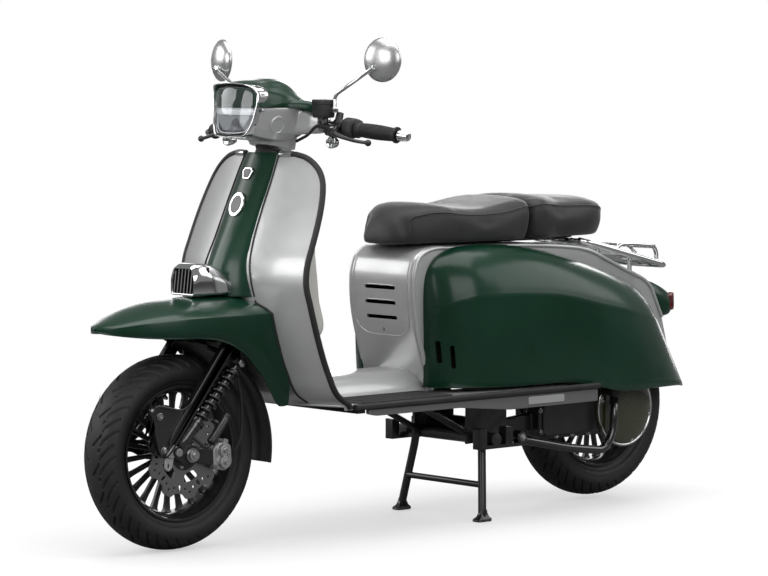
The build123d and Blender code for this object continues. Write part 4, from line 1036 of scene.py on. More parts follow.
for name, line in (("rider_seat", rider_line), ("pillion_seat", pillion_line)):
    sections, seam = [], []
    for x, half, low, edge, top, tuck, *nose in line:
        lean = sum(nose)
        shape = ((0, 0, 0), (tuck * 0.6, 0, 0), (tuck, 0.01, 0), (0.985 - 0.04 * lean, 0.45, 0),
            (1 - 0.17 * lean, 0.75, 0), (0.985 - 0.26 * lean, 0.96, 0), (0.93 - 0.33 * lean, 1, 0.3),
            (0.7 - 0.27 * lean, 1, 0.7), (0.35 - 0.13 * lean, 1, 0.94), (0, 1, 1))
        flat = [(half * wide, low + (edge - low) * side + (top - edge) * crown) for wide, side,
            crown in shape]
        place = [(rear_axle.x + x * 0.001, y * 0.001, z * 0.001) for y, z in flat]
        sections.append(place)
        if not lean or x < 690:
            seam.append((rear_axle.x + x * 0.001, half * 0.001, (edge - 4) * 0.001))
    if name == "rider_seat":
        seam = [(rear_axle.x + x, y, z) for x, y,
            z in ((0.7075, 0.086, 0.7), (0.707, 0.088, 0.715), (0.7055, 0.09, 0.735), (0.703, 0.09, 0.75),
            (0.696, 0.096, 0.761))] + seam
    fine = fair(sections, 90)
    rows = []
    for row in fine:
        curve = np.concatenate([fair([[tuple(p)] for p in row[:3]], 5)[:, 0],
            fair([[tuple(p)] for p in row[2:]], 26)[1:, 0]])
        rows.append(np.concatenate([curve, curve[::-1][1:-1] * (1, -1, 1)]))
    cover = made(name + "_cover", *grid_mesh(rows, wrap=True, cap=True))
    swollen(cover, 0.004)
    settle(cover, vinyl, "seat", name, slot="seat_cover", sharp=0)
    skin = cover.data
    tree = BVHTree.FromPolygons([v.co for v in skin.vertices], [tuple(p.vertices) for p in skin.polygons])
    left = fair([[p] for p in seam], 120)[:, 0]
    run = [Vector(p) for p in left] + [Vector((p[0], -p[1], p[2])) for p in left[::-1]]
    middle = Vector((sum(p.x for p in run) / len(run), 0, 0.745))
    welt = []
    for p in run:
        inner = Vector((p.x * 0.5 + middle.x * 0.5 if abs(p.y) < 0.05 else p.x, 0, p.z - 0.01))
        hit = tree.ray_cast(p + (p - inner).normalized() * 0.05, (inner - p).normalized())[0]
        if hit:
            welt.append(hit)
    smooth_run = [welt[i] * 0.5 + (welt[i - 1] + welt[(i + 1) % len(welt)]) * 0.25 for i in range(len(
        welt))]
    settle(pipe(name + "_welt", smooth_run, 0.0021, 10, closed=True), vinyl, "seat", slot="seat_cover",
        sharp=0)
    stitch = pipe("stitch_blank", [(-0.0021, 0, 0), (-0.0016, 0, 0.0004), (0.0016, 0, 0.0004), (0.0021, 0,
        0)], 0.00042, 5)
    spots, walked = [], 0.0
    for a, b in zip(smooth_run, smooth_run[1:] + smooth_run[:1]):
        way = b - a
        while walked < way.length:
            p = a + way.normalized() * walked - Vector((0, 0, 0.0052))
            spot = tree.find_nearest(p)
            if spot[0]:
                normal = spot[1]
                across = way.normalized()
                spots.append((spot[0] + normal * 0.0003,
                    Matrix((across, normal.cross(across).normalized(), normal)).transposed()))
            walked += 0.0062
        walked -= way.length
    repeated(name + "_stitches", stitch, spots, thread, "seat", slot="seat_cover")

tray_rows = []
for z, grow in ((0.6915, 0.9), (0.692, 0.97), (0.694, 1.0), (0.699, 1.0), (0.7, 0.98)):
    tray_rows.append([(rear_axle.x + 0.405 + (x - 0.405) * grow, y * grow, z) for x,
        y in rounded([(0.69, 0.05), (0.66, 0.085), (0.6, 0.104), (0.3, 0.106), (0.14, 0.08), (0.12, 0.05),
        (0.12, -0.05), (0.14, -0.08), (0.3, -0.106), (0.6, -0.104), (0.66, -0.085), (0.69, -0.05)], 0.02,
        4)])
settle(made("seat_pan", *grid_mesh(tray_rows, wrap=True, cap=True)), moulded, "seat", "seat_base",
    slot="black_plastic", sharp=35)
rib_blank = made("pan_rib_blank", *grid_mesh([[(x, y, z) for x, z in rounded([(-0.0022, -0.003), (0.0022,
    -0.003), (0.0016, 0.003), (-0.0016, 0.003)], 0.0008, 2)] for y in (-0.06, 0.06)], wrap=True, cap=True))
repeated("seat_pan_ribs", rib_blank, [(Vector((rear_axle.x + x, 0, 0.6895)),
    Matrix.Identity(3)) for x in (0.41, 0.47, 0.53, 0.59, 0.64)], moulded, "seat", slot="black_plastic")
# Wheels: pressure-cast black rims with flat spokes, and scooter tyres whose tread is cut in swept, stepped sipes.
# Rim, hub and spokes are one casting, satin black. The rubber has fine moulding lines.
tyre_rubber = Finish("tyre_rubber", (0.0125, 0.0125, 0.0125), 0.62)
tyre_rubber.vary((0.021, 0.0208, 0.0205), 0.52, 0.74, 24.0)
tyre_rubber.bump(tyre_rubber.noise(620.0, 3.0), 0.00025, 0.5)
cast_black = Finish("cast_black", (0.012, 0.012, 0.0125), 0.36, coat=0.3)
cast_black.vary((0.02, 0.02, 0.02), 0.3, 0.46, 18.0)
cast_black.bump(cast_black.noise(900.0, 2.0), 0.00012, 0.5)
alloy = Finish("cast_alloy", (0.5, 0.5, 0.505), 0.42, metal=0.7)
alloy.vary((0.42, 0.42, 0.425), 0.36, 0.52, 30.0)
alloy.bump(alloy.noise(800.0, 3.0), 0.0002, 0.6)
steel = Finish("disc_steel", (0.3, 0.3, 0.305), 0.3, metal=1.0)
steel.feed("Roughness", steel.band(steel.node("ShaderNodeTexWave", {"wave_type": "RINGS",
    "rings_direction": "SPHERICAL"}, {"Vector": steel.node("ShaderNodeVectorMath",
    {"operation": "SUBTRACT"}, [steel.place, tuple(front_axle)]), "Scale": 260.0, "Distortion": 1.0}), 0.0,
    1.0, 0.24, 0.36))


def tyre(name, axle, radius, width, bead, body):
    rim_y, pitch = bead * 0.001, 21
    side = [(rim_y, 0.1527), (rim_y + 0.001, 0.1605), (rim_y + 0.0045, 0.1635), (rim_y + 0.006, 0.168),
        (width * 0.465, 0.175), (width * 0.492, radius * 0.79), (width * 0.5, radius * 0.825),
        (width * 0.487, radius * 0.865), (width * 0.47, radius * 0.883)]
    crown = [(width * 0.47, radius * 0.883), (width * 0.42, radius * 0.921), (width * 0.35, radius * 0.953),
        (width * 0.26, radius * 0.977), (width * 0.17, radius * 0.991), (width * 0.08, radius * 0.9985),
        (0, radius)]
    wall = fair([[p] for p in side], 18)[:, 0]
    tread = fair([[p] for p in crown], 26)[:, 0]
    half = np.concatenate([wall, tread[1:]])
    profile = np.concatenate([half * (-1, 1), half[::-1][1:]])
    steps = 936
    turn = np.linspace(0, 2 * math.pi, steps, endpoint=False)
    y = profile[:, 0][None, :].repeat(steps, 0)
    r = profile[:, 1][None, :].repeat(steps, 0).copy()
    span = 2 * math.pi * radius / pitch
    for sign in (-1, 1):
        t = (np.abs(y) * 1000 - 5) / (width * 470 - 5)
        for shift, start, end, deep in ((0.0, 0.0, 1.0, 0.0052), (0.5, 0.4, 1.04, 0.0046)):
            sweep = 0.068 * np.clip(t, 0, 1.1) ** 1.15 + 0.011 * np.clip((t - 0.46) / 0.07, 0, 1) - 0.004
            place = (turn[:, None] * radius + (0.5 * span if sign > 0 else 0) + shift * span - sweep) % span
            near = np.minimum(place, span - place)
            width_here = 0.0034 + 0.0014 * np.clip(t, 0, 1)
            cut = np.clip(1 - (near / width_here) ** 4, 0,
                1) * (t > start) * (t < end) * (y * sign > 0) * (r > radius * 0.84)
            r -= deep * cut
    ring_line = np.exp(-(((profile[:, 1] - radius * 0.76) / 0.0012) ** 2)) * 0.0008 + np.exp(-(((profile[:,
        1] - radius * 0.735) / 0.0012) ** 2)) * 0.0008
    y = y + np.sign(y) * ring_line[None, :]
    rows = np.stack([axle.x + r * np.cos(turn)[:, None], y, axle.z + r * np.sin(turn)[:, None]], -1)
    n, m = rows.shape[:2]
    verts = rows.reshape(-1, 3)
    a = np.arange(n * m).reshape(n, m)
    b = np.roll(a, -1, 0)
    faces = np.stack([a[:, :-1], b[:, :-1], b[:, 1:], a[:, 1:]], -1).reshape(-1, 4).tolist()
    faces += np.stack([a[:, -1], b[:, -1], b[:, 0], a[:, 0]], -1).tolist()
    return settle(made(name + "_carcass", verts, faces), tyre_rubber, body, name, slot="tyre_rubber",
        sharp=50)


def lathe_wheel(name, axle, half, hub_half, bore, body):
    lip = half + 0.005
    rim_profile = [(-lip, 0.1594), (-lip - 0.0004, 0.1575), (-lip + 0.0005, 0.154), (-half + 0.002, 0.1515),
        (-half + 0.006, 0.1475), (-half + 0.014, 0.1425), (-0.012, 0.1408), (0.012, 0.1408),
        (half - 0.014, 0.1425), (half - 0.006, 0.1475), (half - 0.002, 0.1515), (lip - 0.0005, 0.154),
        (lip + 0.0004, 0.1575), (lip, 0.1594), (half + 0.0008, 0.1592), (half, 0.1526),
        (half - 0.01, 0.1524), (-half + 0.01, 0.1524), (-half, 0.1526), (-half - 0.0008, 0.1592),
        (-lip, 0.1594)]
    settle(turned(name + "_barrel", rim_profile, axle, (0, 1, 0), 144), cast_black, body, name,
        slot="frame_black")
    hub = [(-hub_half, bore), (-hub_half, 0.017), (-hub_half + 0.004, 0.021), (-0.03, 0.0235),
        (-0.018, 0.031), (-0.012, 0.0345), (0.012, 0.0345), (0.018, 0.031), (0.03, 0.0235),
        (hub_half - 0.004, 0.021), (hub_half, 0.017), (hub_half, bore)]
    settle(turned(name + "_hub", hub, axle, (0, 1, 0), 72), cast_black, body, slot="frame_black")
    arm = []
    for r, wide, thick in ((0.030, 0.0052, 0.0105), (0.036, 0.0048, 0.0088), (0.07, 0.0052, 0.0062),
        (0.115, 0.0062, 0.0052), (0.134, 0.0074, 0.0064), (0.1425, 0.0105, 0.0098)):
        arm.append([(r, y, z) for y, z in rounded([(-thick, -wide), (thick, -wide), (thick, wide), (-thick,
            wide)], 0.0022, 3)])
    blank = made("spoke_blank", *grid_mesh(arm, wrap=True, cap=True))
    spots = [(axle, Matrix.Rotation(2 * math.pi * n / 22 + 0.07, 3, "Y")) for n in range(22)]
    repeated(name + "_spokes", blank, spots, cast_black, body, slot="frame_black")
    stem = axle + Vector((math.cos(0.5), 0, math.sin(0.5))) * 0.1395 + Vector((0, 0.012, 0))
    settle(turned(name + "_valve", [(-0.003, 0.0), (-0.003, 0.0055), (0.004, 0.0055), (0.006, 0.0032),
        (0.02, 0.003), (0.021, 0.0038), (0.028, 0.0038), (0.029, 0.003), (0.029, 0.0)], stem,
        Vector((-math.cos(0.5), 0.35, -math.sin(0.5))), 20), rubber, body, slot="black_rubber")


front_r = (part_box("front_tyre")[1].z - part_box("front_tyre")[0].z) / 2
rear_r = (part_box("rear_tyre")[1].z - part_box("rear_tyre")[0].z) / 2
tyre("front_tyre", front_axle, front_r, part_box("front_tyre")[1].y * 2, 37.7, "front_wheel")
tyre("rear_tyre", rear_axle, rear_r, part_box("rear_tyre")[1].y * 2, 41.7, "rear_wheel")
lathe_wheel("front_rim", front_axle, 0.038, 0.053, 0.00805, "front_wheel")
lathe_wheel("rear_rim", rear_axle, 0.042, 0.068, 0.00905, "rear_wheel")
for side, hand in ((1, "left"), (-1, "right")):
    settle(turned("front_hub_collar_" + hand, [(0.049, 0.0082), (0.049, 0.02), (0.064, 0.02), (0.066,
        0.018), (0.066, 0.0082)], front_axle, (0, side, 0), 48), cast_black, "front_wheel",
        slot="frame_black")

# Front brake: a wavy steel disc on the left of the hub, and a two-piston caliper in natural cast alloy behind it.
# The disc is held by five bolts. The caliper has its bleed nipple, four bolts and a hose union.
wave = []
for a in np.linspace(0, 2 * math.pi, 300, endpoint=False):
    wave.append(((0.1005 + 0.0068 * math.tanh(2.2 * math.cos(a * 9))) * math.cos(a),
        (0.1005 + 0.0068 * math.tanh(2.2 * math.cos(a * 9))) * math.sin(a)))
loops = [wave]
for n in range(9):
    turn = 2 * math.pi * n / 9
    slot_way = Matrix.Rotation(turn + 0.349, 2)
    loops.append([tuple(slot_way @ Vector((0.082 + x, y))) for x,
        y in rounded([(-0.008, -0.004), (0.0055, -0.003), (0.0055, 0.003), (-0.008, 0.004)], 0.0028, 4)])
    for extra, out in ((0.0, 0.092), (0.15, 0.083), (-0.15, 0.083)):
        hole_way = Matrix.Rotation(turn + extra, 2)
        loops.append([tuple(hole_way @ Vector((out + x, y))) for x, y in ring(0.0033, 12)])
for n in range(5):
    way = Matrix.Rotation(2 * math.pi * n / 5, 2)
    loops.append([tuple(way @ Vector((x, y))) for x,
        y in rounded([(0.045, -0.014), (0.064, -0.023), (0.068, 0.0), (0.064, 0.023), (0.045, 0.014)],
        0.006, 4)])
loops.append(ring(0.0206, 40))
disc_frame = facing(front_axle + Vector((0, 0.055, 0)), (0, 1, 0))
settle(stood(cutout("brake_disc_rotor", loops, 0.004, 0.0005, 1), disc_frame), steel, "front_wheel",
    "brake_disc", slot="disc_steel")
settle(turned("brake_disc_carrier", [(0.053, 0.0202), (0.053, 0.038), (0.0582, 0.038), (0.0592, 0.036),
    (0.0592, 0.024), (0.06, 0.0202)], front_axle, (0, 1, 0), 60), cast_black, "front_wheel",
    slot="frame_black")


def bolt(name, radius, head):
    """A hexagon flange bolt standing on Z, with a domed washer."""
    profile = []
    hexagon = [(math.cos(a) * radius, math.sin(a) * radius) for a in np.radians(range(0, 360, 60))]
    rows = [[(x, y, 0.0006) for x, y in hexagon], [(x, y, head * 0.85) for x, y in hexagon],
        [(x * 0.86, y * 0.86, head) for x, y in hexagon], [(x * 0.5, y * 0.5, head) for x, y in hexagon],
        [(x * 0.45, y * 0.45, head * 0.72) for x, y in hexagon],
        [(x * 0.01, y * 0.01, head * 0.72) for x, y in hexagon]]
    verts, faces = grid_mesh(rows, wrap=True)
    flange = [[(math.cos(a) * r, math.sin(a) * r, z) for a in np.linspace(0, 2 * math.pi, 18,
        endpoint=False)] for r, z in ((radius * 1.02, 0.0012), (radius * 1.3, 0.0008), (radius * 1.34, 0.0),
        (radius * 1.3, -0.001))]
    v2, f2 = grid_mesh(flange, wrap=True)
    base = len(verts)
    return made(name, [tuple(v) for v in verts] + [tuple(v) for v in v2],
        faces + [tuple(i + base for i in f) for f in f2])


bright = Finish("zinc_bolt", (0.55, 0.55, 0.56), 0.28, metal=1.0)
bright.vary((0.45, 0.45, 0.46), 0.22, 0.4, 40.0)


def bolts(name, places, out, radius, head, finish, body, slot="alloy", spin=0.3):
    way = facing((0, 0, 0), out).to_3x3()
    spots = [(Vector(p), way @ Matrix.Rotation(spin * k, 3, "Z")) for k, p in enumerate(places)]
    return repeated(name, bolt("bolt_blank", radius, head), spots, finish, body, slot=slot)


bolts("disc_bolts", [front_axle + Vector((0.031 * math.cos(a), 0.0592,
    0.031 * math.sin(a))) for a in np.radians(range(0, 360, 72))], (0, 1, 0), 0.0038, 0.003, bright,
    "front_wheel")


def fused(name, parts, voxel, passes=4):
    """Several closed shapes run together into one casting with soft fillets."""
    work = bmesh.new()
    for part in parts:
        work.from_mesh(part.data)
        bpy.data.objects.remove(part)
    mesh = bpy.data.meshes.new(name)
    work.to_mesh(mesh)
    work.free()
    piece = bpy.data.objects.new(name, mesh)
    bpy.context.scene.collection.objects.link(piece)
    cells = piece.modifiers.new("cells", "REMESH")
    cells.mode = "VOXEL"
    cells.voxel_size = voxel
    soft = piece.modifiers.new("soft", "SMOOTH")
    soft.iterations = passes
    soft.factor = 0.5
    return piece


def prism(name, outline, low, high, rounding=0.002):
    """A side outline (x, z) carried between two widths, with rounded edges."""
    spin = Matrix(((1, 0, 0, 0), (0, 0, -1, (low + high) / 2), (0, 1, 0, 0), (0, 0, 0, 1)))
    return stood(cutout(name, [outline], abs(high - low), rounding), spin)


def rodlike(name, a, b, radius, sides=20):
    return pipe(name, [a, b], radius, sides)


fx = front_axle.x
body_outline = rounded([(fx - 0.066, 0.192), (fx - 0.064, 0.238), (fx - 0.084, 0.254), (fx - 0.118, 0.246),
    (fx - 0.121, 0.198), (fx - 0.1, 0.184)], 0.01, 5)
parts = [
    prism("a", body_outline, 0.0645, 0.084),
    prism("b", rounded([(fx - 0.07, 0.2), (fx - 0.07, 0.236), (fx - 0.12, 0.254), (fx - 0.118, 0.2)], 0.008,
    5), 0.04, 0.047),
    rodlike("c", (fx - 0.115, 0.045, 0.251), (fx - 0.115, 0.07, 0.251), 0.0065),
    rodlike("d", (fx - 0.112, 0.045, 0.2), (fx - 0.112, 0.07, 0.2), 0.008),
    rodlike("e", (fx - 0.091, 0.07, 0.234), (fx - 0.091, 0.095, 0.234), 0.0135),
    rodlike("f", (fx - 0.093, 0.07, 0.206), (fx - 0.093, 0.0955, 0.206), 0.0145),
    rodlike("g", (fx - 0.117, 0.075, 0.212), (fx - 0.1225, 0.075, 0.214), 0.006),
]
settle(fused("brake_caliper_body", parts, 0.0014, 3), alloy, "steering", "brake_caliper", slot="alloy",
    sharp=0)
settle(turned("caliper_bleed_nipple", [(-0.004, 0.0), (-0.004, 0.0035), (0.003, 0.0035), (0.004, 0.0022),
    (0.008, 0.0024), (0.009, 0.0016), (0.009, 0.0)], (fx - 0.104, 0.075, 0.2505), (-0.3, 0, 1), 16), bright,
    "steering", slot="alloy")
bolts("caliper_bolts", [(fx - 0.108, 0.0845, 0.221), (fx - 0.074, 0.0845, 0.2), (fx - 0.091, 0.0955, 0.234),
    (fx - 0.093, 0.096, 0.206)], (0, 1, 0), 0.0048, 0.0042, bright, "steering")
# Fork: a leading-link fork with folded channel legs, forged links and black coil shocks with outside canisters.
# The legs are pressed steel with a turned-up rim, welded to a cross tube and the steering stem, in gloss black.
gloss_black = Finish("gloss_black", (0.0075, 0.0075, 0.008), 0.2, coat=1.0)
gloss_black.vary((0.014, 0.014, 0.015), 0.16, 0.3, 14.0)
steer_way = Vector(joint["steering_turn"]["axis"]).normalized()
if steer_way.z < 0:
    steer_way = -steer_way
steer_foot = Vector(joint["steering_turn"]["pos_m"])


def steer(z):
    return steer_foot + steer_way * ((z - steer_foot.z) / steer_way.z)


def at(x, y, z):
    """A point given in millimetres from the rear axle."""
    return Vector((rear_axle.x + x * 0.001, y * 0.001, z * 0.001))


def ahead(dx, y, z):
    """A point in millimetres, measured forward from the front axle."""
    return Vector((front_axle.x + dx * 0.001, y * 0.001, z * 0.001))


def inset(loop, deep):
    """The same outline moved inwards."""
    turn_sign = 1 if sum(a[0] * b[1] - b[0] * a[1] for a, b in zip(loop, loop[1:] + loop[:1])) > 0 else -1
    moved = []
    for a, b, c in zip(loop[-1:] + loop[:-1], loop, loop[1:] + loop[:1]):
        way = Vector((c[0] - a[0], c[1] - a[1])).normalized()
        moved.append((b[0] - way.y * deep * turn_sign, b[1] + way.x * deep * turn_sign))
    return moved


def upright(loops, low, high, rounding=0.0015):
    """Side outlines in metres (x, z) carried from one width to another."""
    spin = Matrix(((1, 0, 0, 0), (0, 0, -1, (low + high) / 2), (0, 1, 0, 0), (0, 0, 0, 1)))
    return stood(cutout("blank", loops, abs(high - low), rounding), spin)


leg_line = [(-138, 506), (-98, 506), (22, 351), (40, 342), (54, 342), (112, 356), (128, 348), (131, 334),
    (124, 292), (113, 248), (104, 232), (90, 229), (76, 240)]
leg_loop = rounded([(front_axle.x + x * 0.001, z * 0.001) for x, z in leg_line], 0.009, 5)
crown_at = steer(0.5)
for side, hand in ((1, "left"), (-1, "right")):
    web = upright([leg_loop], side * 0.0905, side * 0.0945, 0.001)
    web.name = "fork_web_" + hand
    settle(web, gloss_black, "steering", *(("fork",) if side > 0 else ()), slot="frame_black", sharp=30)
    rim = upright([leg_loop, inset(leg_loop, 0.0042)], side * 0.0905, side * 0.1075, 0.0014)
    rim.name = "fork_rim_" + hand
    settle(rim, gloss_black, "steering", slot="frame_black", sharp=30)
    gusset = upright([rounded([(front_axle.x + x * 0.001, z * 0.001) for x,
        z in ((-112, 488), (-100, 499), (64, 290), (78, 262), (70, 262))], 0.004, 4)], side * 0.094,
        side * 0.1, 0.001)
    gusset.name = "fork_stiffener_" + hand
    settle(gusset, gloss_black, "steering", slot="frame_black", sharp=30)
    bolts("fork_bolts_" + hand, [ahead(101, side * 96.5, 327), ahead(92, side * 98.5, 248)], (0, side, 0),
        0.0066, 0.0058, bright, "steering")
    lug = upright([rounded([(front_axle.x + x * 0.001, z * 0.001) for x,
        z in ((-140, 506), (-106, 506), (-112, 430), (-122, 424), (-136, 424), (-144, 434))], 0.006, 4)],
        side * 0.0845, side * 0.0895, 0.001)
    lug.name = "shock_lug_" + hand
    settle(lug, gloss_black, "steering", slot="frame_black", sharp=30)
    pin = turned("shock_pin_" + hand, [(-0.012, 0.0), (-0.012, 0.0062), (0.012, 0.0062), (0.012, 0.0098),
        (0.0135, 0.0102), (0.0175, 0.0092), (0.0185, 0.006), (0.0178, 0.0)], ahead(-128, side * 97, 438),
        (0, side, 0), 28)
    settle(pin, bright, "steering", slot="alloy", sharp=35)
settle(pipe("fork_cross_tube", [crown_at + Vector((0, -0.092, 0)), crown_at + Vector((0, 0.092, 0))], 0.016,
    32), gloss_black, "steering", slot="frame_black")
settle(turned("fork_stem", [(-0.012, 0.0), (-0.012, 0.024), (0.012, 0.0245), (0.022, 0.019), (0.028, 0.015),
    (0.52, 0.015), (0.52, 0.0)], crown_at, steer_way, 36), gloss_black, "steering", slot="frame_black")
for side, hand in ((1, "left"), (-1, "right")):
    settle(turned("crown_weld_" + hand, [(-0.006, 0.0165), (-0.004, 0.0188), (0.0, 0.0196), (0.003, 0.0205),
        (0.0045, 0.02), (0.0045, 0.0165)], crown_at + Vector((0, side * 0.086, 0)), (0, side, 0), 36),
        gloss_black, "steering", slot="frame_black")

for side, hand in ((1, "left"), (-1, "right")):
    link_line = [(front_axle.x + x * 0.001, z * 0.001) for x,
        z in ((-24, 229), (-16, 248), (0, 254), (40, 254), (88, 269), (108, 262), (112, 248), (98, 233),
        (50, 226), (14, 206), (-6, 204), (-20, 212))]
    link = [upright([rounded(link_line, 0.008, 5)], side * 0.0725, side * 0.0815, 0.0015)]
    link.append(pipe("a", [ahead(0, side * 68, front_axle.z * 1000), ahead(0, side * 86,
        front_axle.z * 1000)], 0.0195, 28))
    link.append(pipe("b", [ahead(95, side * 70, 250), ahead(95, side * 89, 250)], 0.0155, 28))
    link.append(pipe("c", [ahead(58, side * 72, 242), ahead(58, side * 89, 242)], 0.0125, 24))
    if side > 0:
        link.append(upright([rounded([(front_axle.x + x * 0.001, z * 0.001) for x,
            z in ((6, 246), (4, 216), (-60, 198), (-72, 206), (-70, 234), (-58, 240))], 0.007, 5)], 0.0725,
            0.0815, 0.0015))
    settle(fused("fork_link_" + hand, link, 0.0015, 4), cast_black, "steering",
        *(("fork_links",) if side > 0 else ()), slot="frame_black", sharp=0)
    settle(turned("shock_foot_pin_" + hand, [(-0.02, 0.0), (-0.02, 0.006), (0.012, 0.006), (0.012, 0.0096),
        (0.0135, 0.0101), (0.0172, 0.0092), (0.018, 0.006), (0.0174, 0.0)], ahead(58, side * 97, 242),
        (0, side, 0), 28), bright, "steering", slot="alloy", sharp=35)
    settle(turned("axle_nut_" + hand, [(0.0, 0.0), (0.0, 0.0165), (0.0015, 0.0172), (0.003, 0.0168),
        (0.0032, 0.0142), (0.0105, 0.0142), (0.012, 0.0125), (0.012, 0.0078), (0.0142, 0.0076),
        (0.0152, 0.0062), (0.0152, 0.0)], front_axle + Vector((0, side * 0.086, 0)), (0, side, 0), 6 * 6),
        bright, "steering", slot="alloy", sharp=35)
    ear = upright([rounded([(front_axle.x + x * 0.001, z * 0.001) for x,
        z in ((64, 262), (90, 236), (96, 208), (84, 198), (72, 208), (68, 232), (52, 246))], 0.006, 5),
        [(front_axle.x + 0.084 + x * 0.4, 0.2115 + y) for x, y in ring(0.0058, 18)]], side * 0.1008,
        side * 0.1052, 0.001)
    ear.name = "fork_foot_" + hand
    settle(ear, alloy, "steering", slot="alloy", sharp=30)
settle(pipe("front_spindle", [front_axle + Vector((0, -0.088, 0)), front_axle + Vector((0, 0.088, 0))],
    0.008, 28), bright, "steering", slot="alloy")

for side, hand in ((1, "left"), (-1, "right")):
    top, low = ahead(-128, side * 97, 438), ahead(58, side * 97, 242)
    way = (low - top).normalized()
    long = (low - top).length
    settle(turned("shock_body_" + hand, [(0.0125, 0.0), (0.0125, 0.0095), (0.024, 0.0095), (0.025, 0.019),
        (0.0285, 0.0198), (0.031, 0.0198), (0.0315, 0.0125), (0.1, 0.0125), (long - 0.094, 0.0125),
        (long - 0.094, 0.0198), (long - 0.088, 0.0205), (long - 0.083, 0.0198), (long - 0.0825, 0.0172),
        (long - 0.078, 0.0168), (long - 0.07, 0.0168), (long - 0.0695, 0.0158), (long - 0.04, 0.0158),
        (long - 0.0395, 0.0166), (long - 0.0345, 0.0166), (long - 0.034, 0.0152), (long - 0.022, 0.0142),
        (long - 0.015, 0.0105), (long - 0.0105, 0.0)], top, way, 40), gloss_black, "steering",
        *(("front_shocks",) if side > 0 else ()), slot="frame_black", sharp=35)
    out = Vector((0, side, 0))
    across = way.cross(out)
    helix = []
    start, end, rounds = 0.0335, long - 0.0965, 7.5
    for k in range(int(rounds * 26) + 1):
        t = k / (rounds * 26)
        a = 2 * math.pi * rounds * t
        helix.append(top + way * (start + (end - start) * t) + out * (0.0185 * math.cos(a)) + across * (
            0.0185 * math.sin(a)))
    settle(pipe("shock_spring_" + hand, helix, 0.0034, 10), gloss_black, "steering", slot="frame_black",
        sharp=0)
    for spot, name in ((top, "top"), (low, "foot")):
        settle(turned("shock_eye_%s_%s" % (name, hand),
            [(-0.0075, 0.0065), (-0.0075, 0.0122), (-0.0065, 0.0132), (0.0075, 0.0132), (0.0085, 0.0122),
            (0.0085, 0.0065)], spot, (0, side, 0), 32), cast_black, "steering", slot="frame_black",
            sharp=35)
    tank_top, tank_low = ahead(-85, side * 113, 321), ahead(-33, side * 113, 257)
    tank_way = (tank_low - tank_top).normalized()
    tank_long = (tank_low - tank_top).length
    settle(turned("shock_canister_" + hand, [(0.0, 0.0), (0.0, 0.0078), (0.002, 0.0102), (0.008, 0.0108),
        (0.009, 0.0102), (0.012, 0.0102), (0.013, 0.0108), (tank_long - 0.014, 0.0108),
        (tank_long - 0.012, 0.0115), (tank_long - 0.004, 0.0115), (tank_long - 0.001, 0.0098),
        (tank_long, 0.006), (tank_long, 0.0)], tank_top, tank_way, 36), cast_black, "steering",
        slot="frame_black", sharp=35)
    settle(pipe("canister_link_" + hand, bent([tank_low - tank_way * 0.004,
        tank_low + tank_way * 0.012 + Vector((0.004, 0, -0.002)),
        low - way * 0.05 + Vector((-0.012, side * 0.004, -0.004)), low - way * 0.045], 0.008, 6), 0.0045,
        12), cast_black, "steering", slot="frame_black", sharp=0)
    settle(pipe("canister_clip_" + hand, [tank_top + tank_way * 0.03,
        tank_top + tank_way * 0.03 + Vector((0.02, -side * 0.012, 0.012))], 0.0058, 14), cast_black,
        "steering", slot="frame_black", sharp=0)
hose = bent([ahead(-121, 76, 214), ahead(-150, 80, 250), ahead(-160, 76, 330), ahead(-150, 62, 430),
    ahead(-130, 40, 492)], 0.05, 10)
settle(pipe("front_brake_hose", hose, 0.0036, 12), rubber, "steering", slot="black_rubber", sharp=0)

# Rear drive: a black cast case on the left of the rear wheel with a smooth side, a hub motor and a domed olive cover.
# It swings on a pivot tube. A bent guard tube with a rubber knob runs outside it, and a coil shock holds it up.
olive = Finish("cover_olive", (0.030, 0.036, 0.014), 0.24, coat=0.9)
olive.vary((0.042, 0.05, 0.022), 0.18, 0.32, 12.0)
box_line = [(rear_axle.x + x * 0.001, z * 0.001) for x,
    z in ((58, 196), (74, 183), (278, 183), (296, 196), (298, 262), (282, 300), (262, 316), (110, 320),
    (66, 300))]
case = [upright([rounded(box_line, 0.014, 6)], 0.07, 0.118, 0.004),
    upright([inset(rounded(box_line, 0.014, 6), 0.008)], 0.112, 0.127, 0.003)]
case.append(pipe("a", [at(0, 84, 247), at(0, 124, 247)], 0.064, 64))
case.append(upright([rounded([(rear_axle.x + x * 0.001, z * 0.001) for x,
    z in ((280, 206), (414, 206), (430, 222), (414, 240), (280, 252))], 0.01, 5)], 0.07, 0.092, 0.003))
case.append(pipe("b", [at(410, -92, 222), at(410, 92, 222)], 0.019, 36))
settle(fused("drive_case", case, 0.0022, 4), cast_black, "chassis", "drive_unit", slot="frame_black",
    sharp=0)
bolts("drive_bolts", [at(x, 119, z) for x, z in ((72, 190), (72, 252), (122, 189), (180, 189), (236, 189),
    (288, 204), (291, 258), (272, 301))], (0, 1, 0), 0.0052, 0.0046, bright, "chassis")
cover = [(0.0, 0.0), (0.0, 0.1005), (0.003, 0.102), (0.006, 0.101), (0.0068, 0.0975), (0.0058, 0.0955),
    (0.0082, 0.094), (0.0118, 0.086), (0.0146, 0.07), (0.0162, 0.045), (0.0166, 0.02), (0.0166, 0.0)]
settle(turned("hub_cover_dome", cover, at(0, 126, 247), (0, 1, 0), 96), olive, "chassis", "hub_cover",
    slot="cover_olive", sharp=35)
settle(turned("hub_cover_ring", [(0.0055, 0.0955), (0.0065, 0.0985), (0.008, 0.0992), (0.0092, 0.0975),
    (0.0088, 0.0945), (0.0072, 0.0938)], at(0, 126, 247), (0, 1, 0), 96), chrome, "chassis", slot="alloy",
    sharp=60)
